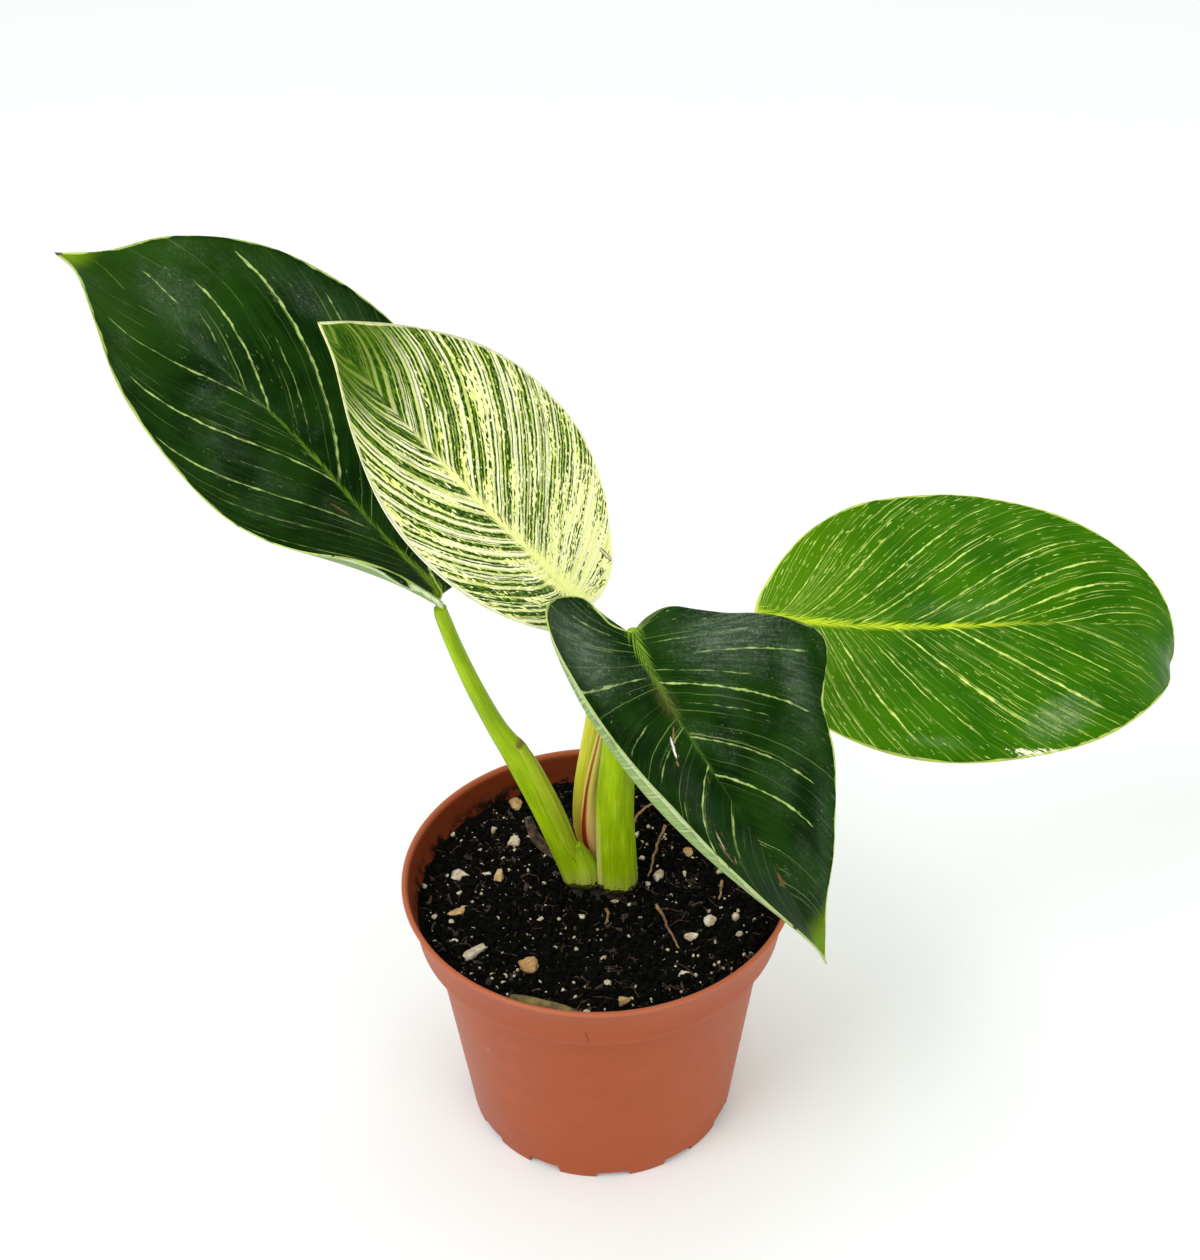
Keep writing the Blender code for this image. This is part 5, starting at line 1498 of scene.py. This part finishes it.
def bark_curl_piece(finish):
    """A curled strip of bark with ragged ends, lying along the front of the rim."""
    start, end = (Vector((*spot, 0.0)) for spot in BARK_CURL_ENDS)
    sideways = (end - start).normalized().cross(Vector((0, 0, 1)))
    lengthwise, around = 46, 26
    points, faces = [], []
    for layer in (0, 1):
        for k in range(lengthwise + 1):
            f = k / lengthwise
            outer = abs(2 * f - 1)
            for j in range(around + 1):
                turn = math.radians(-20 + 220 * j / around)
                ragged = 1.3 * noise.noise(Vector((j * 0.35, f * 1.2, 2.0)))
                along = f + (ragged / 19.0) * (1 if f > 0.5 else -1) * outer ** 3
                grain = 0.18 * noise.noise(Vector((j * 0.9, f * 3.0, 8.0 + layer)))
                skin = 1.9 * (1 - 0.45 * outer ** 4) - 0.6 * layer + grain
                spot = start.lerp(end, along) + sideways * skin * math.cos(turn)
                points.append((spot.x, spot.y, SOIL_TOP + GAP + 0.5 + skin * math.sin(turn)))
    wide = around + 1
    sheet = (lengthwise + 1) * wide
    for k in range(lengthwise):
        for low in range(k * wide, k * wide + around):
            high = low + wide
            faces.append((low, low + 1, high + 1, high))
            faces.append((sheet + low, sheet + high, sheet + high + 1, sheet + low + 1))
    rim = [*range(0, sheet, wide), *range(sheet - around, sheet),
           *range(sheet - wide - 1, 0, -wide), *range(around - 1, 0, -1)]
    for low, after in zip(rim, rim[1:] + rim[:1]):
        faces.append((low, after, sheet + after, sheet + low))
    return link_mesh("bark_curl_strip", points, faces, finish)


def stem_base_piece(finish):
    """The short ragged crown the petioles stand on."""
    rings, segments = 22, 90
    x0, y0 = CROWN_MIDDLE
    points = [(x0, y0, SOIL_TOP + GAP + 1.3)]
    for ring in range(1, rings + 1):
        f = ring / rings
        for k in range(segments):
            c, s = math.cos(2 * math.pi * k / segments), math.sin(2 * math.pi * k / segments)
            ragged = 1.0 + 0.10 * noise.noise(Vector((c * 3, s * 3, 4.0)))
            ragged += 0.05 * noise.noise(Vector((c * 9, s * 9, 6.0)))
            x, y = x0 + 11.5 * f * ragged * c, y0 + 10.5 * f * ragged * s
            bumps = 0.5 * noise.noise(Vector((x * 0.8, y * 0.8, 2.0)))
            points.append((x, y, SOIL_TOP + GAP - 0.6 + (1.7 + bumps) * math.sqrt(max(0.0, 1 - f ** 3))))
    points.append((x0, y0, SOIL_TOP - 1.0))
    return link_mesh("stem_crown", points, closed_skin(rings, segments), finish)


# ---- the plant --------------------------------------------------------------------------------
def dress(piece, slot, *nodes):
    """Put a finished piece on the plant's one body, in place of its solids."""
    if nodes:
        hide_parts(*nodes)
    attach(piece, "root")


def make_blades():
    tops = {key: dark_blade(f"dark_blade_{key}_top", key) for key in DARK_LOOKS}
    tops |= {"variegated": cream_blade("cream_blade_top"), "right": bright_blade("bright_blade_top")}
    grey = under_blade("dark_blade_under", (138, 166, 94), (190, 210, 142))
    unders = {"left": grey, "front": grey,
              "variegated": under_blade("cream_blade_under", (206, 220, 130), (240, 244, 190)),
              "right": under_blade("bright_blade_under", (118, 166, 48), (190, 214, 112))}
    for key in BLADES:
        node = "leaf_" + key
        dress(blade_piece("blade_" + key, key, (tops[key], unders[key])), node, node)


def make_stalks():
    greens = (138, 172, 0), (164, 196, 4), (198, 216, 60)
    pales = (206, 208, 44), (218, 218, 70), (232, 230, 118), (228, 164, 84)
    kinds = {
        "petiole_left": (winged_section, stalk_finish("petiole_winged_skin", *greens, wing=True)),
        "petiole_centre": (round_section, stalk_finish("petiole_pale_skin", *pales)),
        "petiole_front": (broad_section, stalk_finish("petiole_thick_skin", *greens, edge=True)),
        "petiole_right": (round_section, stalk_finish("petiole_green_skin", *greens))}
    for name, (section, finish) in kinds.items():
        slot = "petiole_pale" if name == "petiole_centre" else "petiole_green"
        dress(stalk(name + "_skin", PETIOLES[name], section, finish, 120, 64), slot, name)
    torn = stalk_finish("cut_sheath_skin", (150, 180, 16), (174, 198, 36), (206, 218, 96))
    dried = fibre_finish("dried_sheath_skin", (44, 34, 26), (112, 92, 72))
    kinds = {"new_leaf_sheath": ("sheath_pink", sheath_finish("young_sheath_skin")),
             "dried_sheath": ("sheath_dried", dried), "cut_sheath": ("petiole_green", torn)}
    for name, (slot, finish) in kinds.items():
        dress(stalk(name + "_skin", SHEATHS[name], flat_section, finish), slot, name)
    crown = grain_finish("stem_crown_skin", (8, 7, 4), (52, 46, 24), (4, 4, 3), 520.0)
    dress(stem_base_piece(crown), "stem_tissue", "stem_base")


def make_pot_and_soil():
    dress(pot_piece(pot_finish()), "pot_plastic", "pot")
    peat = soil_finish()
    dress(soil_bed(peat), "soil", "soil")
    bed = scatter_bed(SCATTER_REACH)
    dress(crumbs("peat_crumbs", bed, peat, Density=620000.0, Seed=3, Smallest=0.0003, Largest=0.0022,
                 Power=2.6, Roughness=0.0012), "soil")
    white = grain_finish("pale_grit_skin", (232, 224, 204), (190, 170, 132), (104, 80, 48), 420.0)
    dress(crumbs("pale_grains", bed, white, Density=90000.0, Seed=8, Smallest=0.0002, Largest=0.0010,
                 Power=2.4, Roughness=0.0006), "grit")
    splinter = fibre_finish("peat_shred_skin", (14, 10, 7), (66, 46, 30))
    dress(shreds("peat_shreds", bed, splinter, Density=52000.0, Seed=21, Smallest=0.0012, Largest=0.0052,
                 Power=2.4, Roughness=0.0012), "soil")
    strand = fibre_finish("peat_fibre_skin", (40, 28, 20), (92, 66, 44))
    dress(fibres("peat_fibres", bed, strand, Density=52000.0, Seed=5, Smallest=0.002, Largest=0.011,
                 Power=2.0, Thickness=0.00011, Bend=0.005), "soil")
    bpy.data.meshes.remove(bed)

    tan = grain_finish("tan_bark_skin", (214, 182, 128), (176, 132, 80), (92, 58, 32))
    small = bmesh.new()
    for number, (x, y, size) in enumerate(SMALL_LUMPS):
        rough = random.Random(number)
        spec = (x, y, size * rough.uniform(0.8, 1.15), size * rough.uniform(0.6, 0.9),
                size * rough.uniform(0.55, 0.85), rough.uniform(0, 180))
        lump_shape(small, spec, 20.0 + number * 3.7, 2)
    dress(mesh_piece("small_lumps", small, white), "grit")
    for number, (node, spec) in enumerate(LUMPS.items()):
        shape = bmesh.new()
        lump_shape(shape, spec, 1.0 + number * 5.3)
        kind = "grit" if node.startswith("grit") else "bark"
        dress(mesh_piece(node + "_lump", shape, white if kind == "grit" else tan), kind, node)

    brown = fibre_finish("root_skin", (112, 78, 48), (166, 128, 84))
    for node in ROOTS:
        dress(root_piece(node, brown), "root", node)
    olive = fibre_finish("bark_curl_skin", (92, 76, 36), (142, 122, 66))
    dress(bark_curl_piece(olive), "bark_curl", "bark_curl")


# ---- floor, light and camera ------------------------------------------------------------------
FLOOR_RADIUS = 6.0
WORLD_STRENGTH = 0.85
# Soft lights: place, target, size and power.
LIGHTS = {
    "key": ((-0.9, -0.8, 1.4), (0.0, 0.0, 0.12), 0.9, 11.5),
    "fill": ((0.9, -1.2, 1.1), (0.0, 0.0, 0.10), 1.0, 5.0),
    "top": ((0.2, 0.5, 1.7), (0.0, 0.0, 0.15), 0.8, 3.0),
}
SENSOR_WIDTH = 36.0
FOCAL_SHARE = 2000.0 / 1260.0
CAMERA_PLACE = (1.903, -455.339, 505.231)
CAMERA_ELEVATION = 35.44
CAMERA_ROLL = -0.987


def make_floor():
    b = Finish("studio_floor")
    place = b.place()
    finish = b.feed(Base_Color=b.mix(b.cloud(place, 2.0), (248, 253, 251), (245, 249, 248)),
                    Roughness=b.cloud(place, 5.0).ramp(0.3, 0.7, 0.85, 0.9))
    shape = bmesh.new()
    bmesh.ops.create_circle(shape, cap_ends=True, segments=96, radius=FLOOR_RADIUS)
    mesh_piece("studio_floor", shape, finish, smooth=False)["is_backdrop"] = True


def make_light():
    world = bpy.data.worlds.new("studio")
    world.use_nodes = True
    background = world.node_tree.nodes["Background"]
    background.inputs[0].default_value = (1.0, 1.0, 1.0, 1.0)
    background.inputs[1].default_value = WORLD_STRENGTH
    bpy.context.scene.world = world
    for name, (place, target, size, power) in LIGHTS.items():
        lamp = bpy.data.lights.new(name, "AREA")
        lamp.shape = "DISK"
        lamp.size = size
        lamp.energy = power
        obj = place_object(name, lamp)
        obj.location = place
        obj.rotation_euler = (Vector(target) - Vector(place)).to_track_quat("-Z", "Y").to_euler()
    bpy.context.scene.view_settings.view_transform = "Standard"


def make_camera():
    elevation, roll = math.radians(CAMERA_ELEVATION), math.radians(CAMERA_ROLL)
    back = Vector((0.0, -math.cos(elevation), math.sin(elevation)))
    level = Vector((1.0, 0.0, 0.0))
    up = back.cross(level)
    right = math.cos(roll) * level + math.sin(roll) * up
    over = math.cos(roll) * up - math.sin(roll) * level
    lens = bpy.data.cameras.new("camera")
    lens.sensor_width = SENSOR_WIDTH
    lens.lens = FOCAL_SHARE * SENSOR_WIDTH
    lens.clip_start = 0.02
    camera = place_object("camera", lens)
    spot = (Vector(CAMERA_PLACE) + POT_AXIS) * MM
    camera.matrix_world = Matrix.Translation(spot) @ Matrix((right, over, back)).transposed().to_4x4()
    bpy.context.scene.camera = camera


make_camera()
make_light()
make_floor()
make_pot_and_soil()
make_stalks()
make_blades()

new_low, new_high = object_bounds()
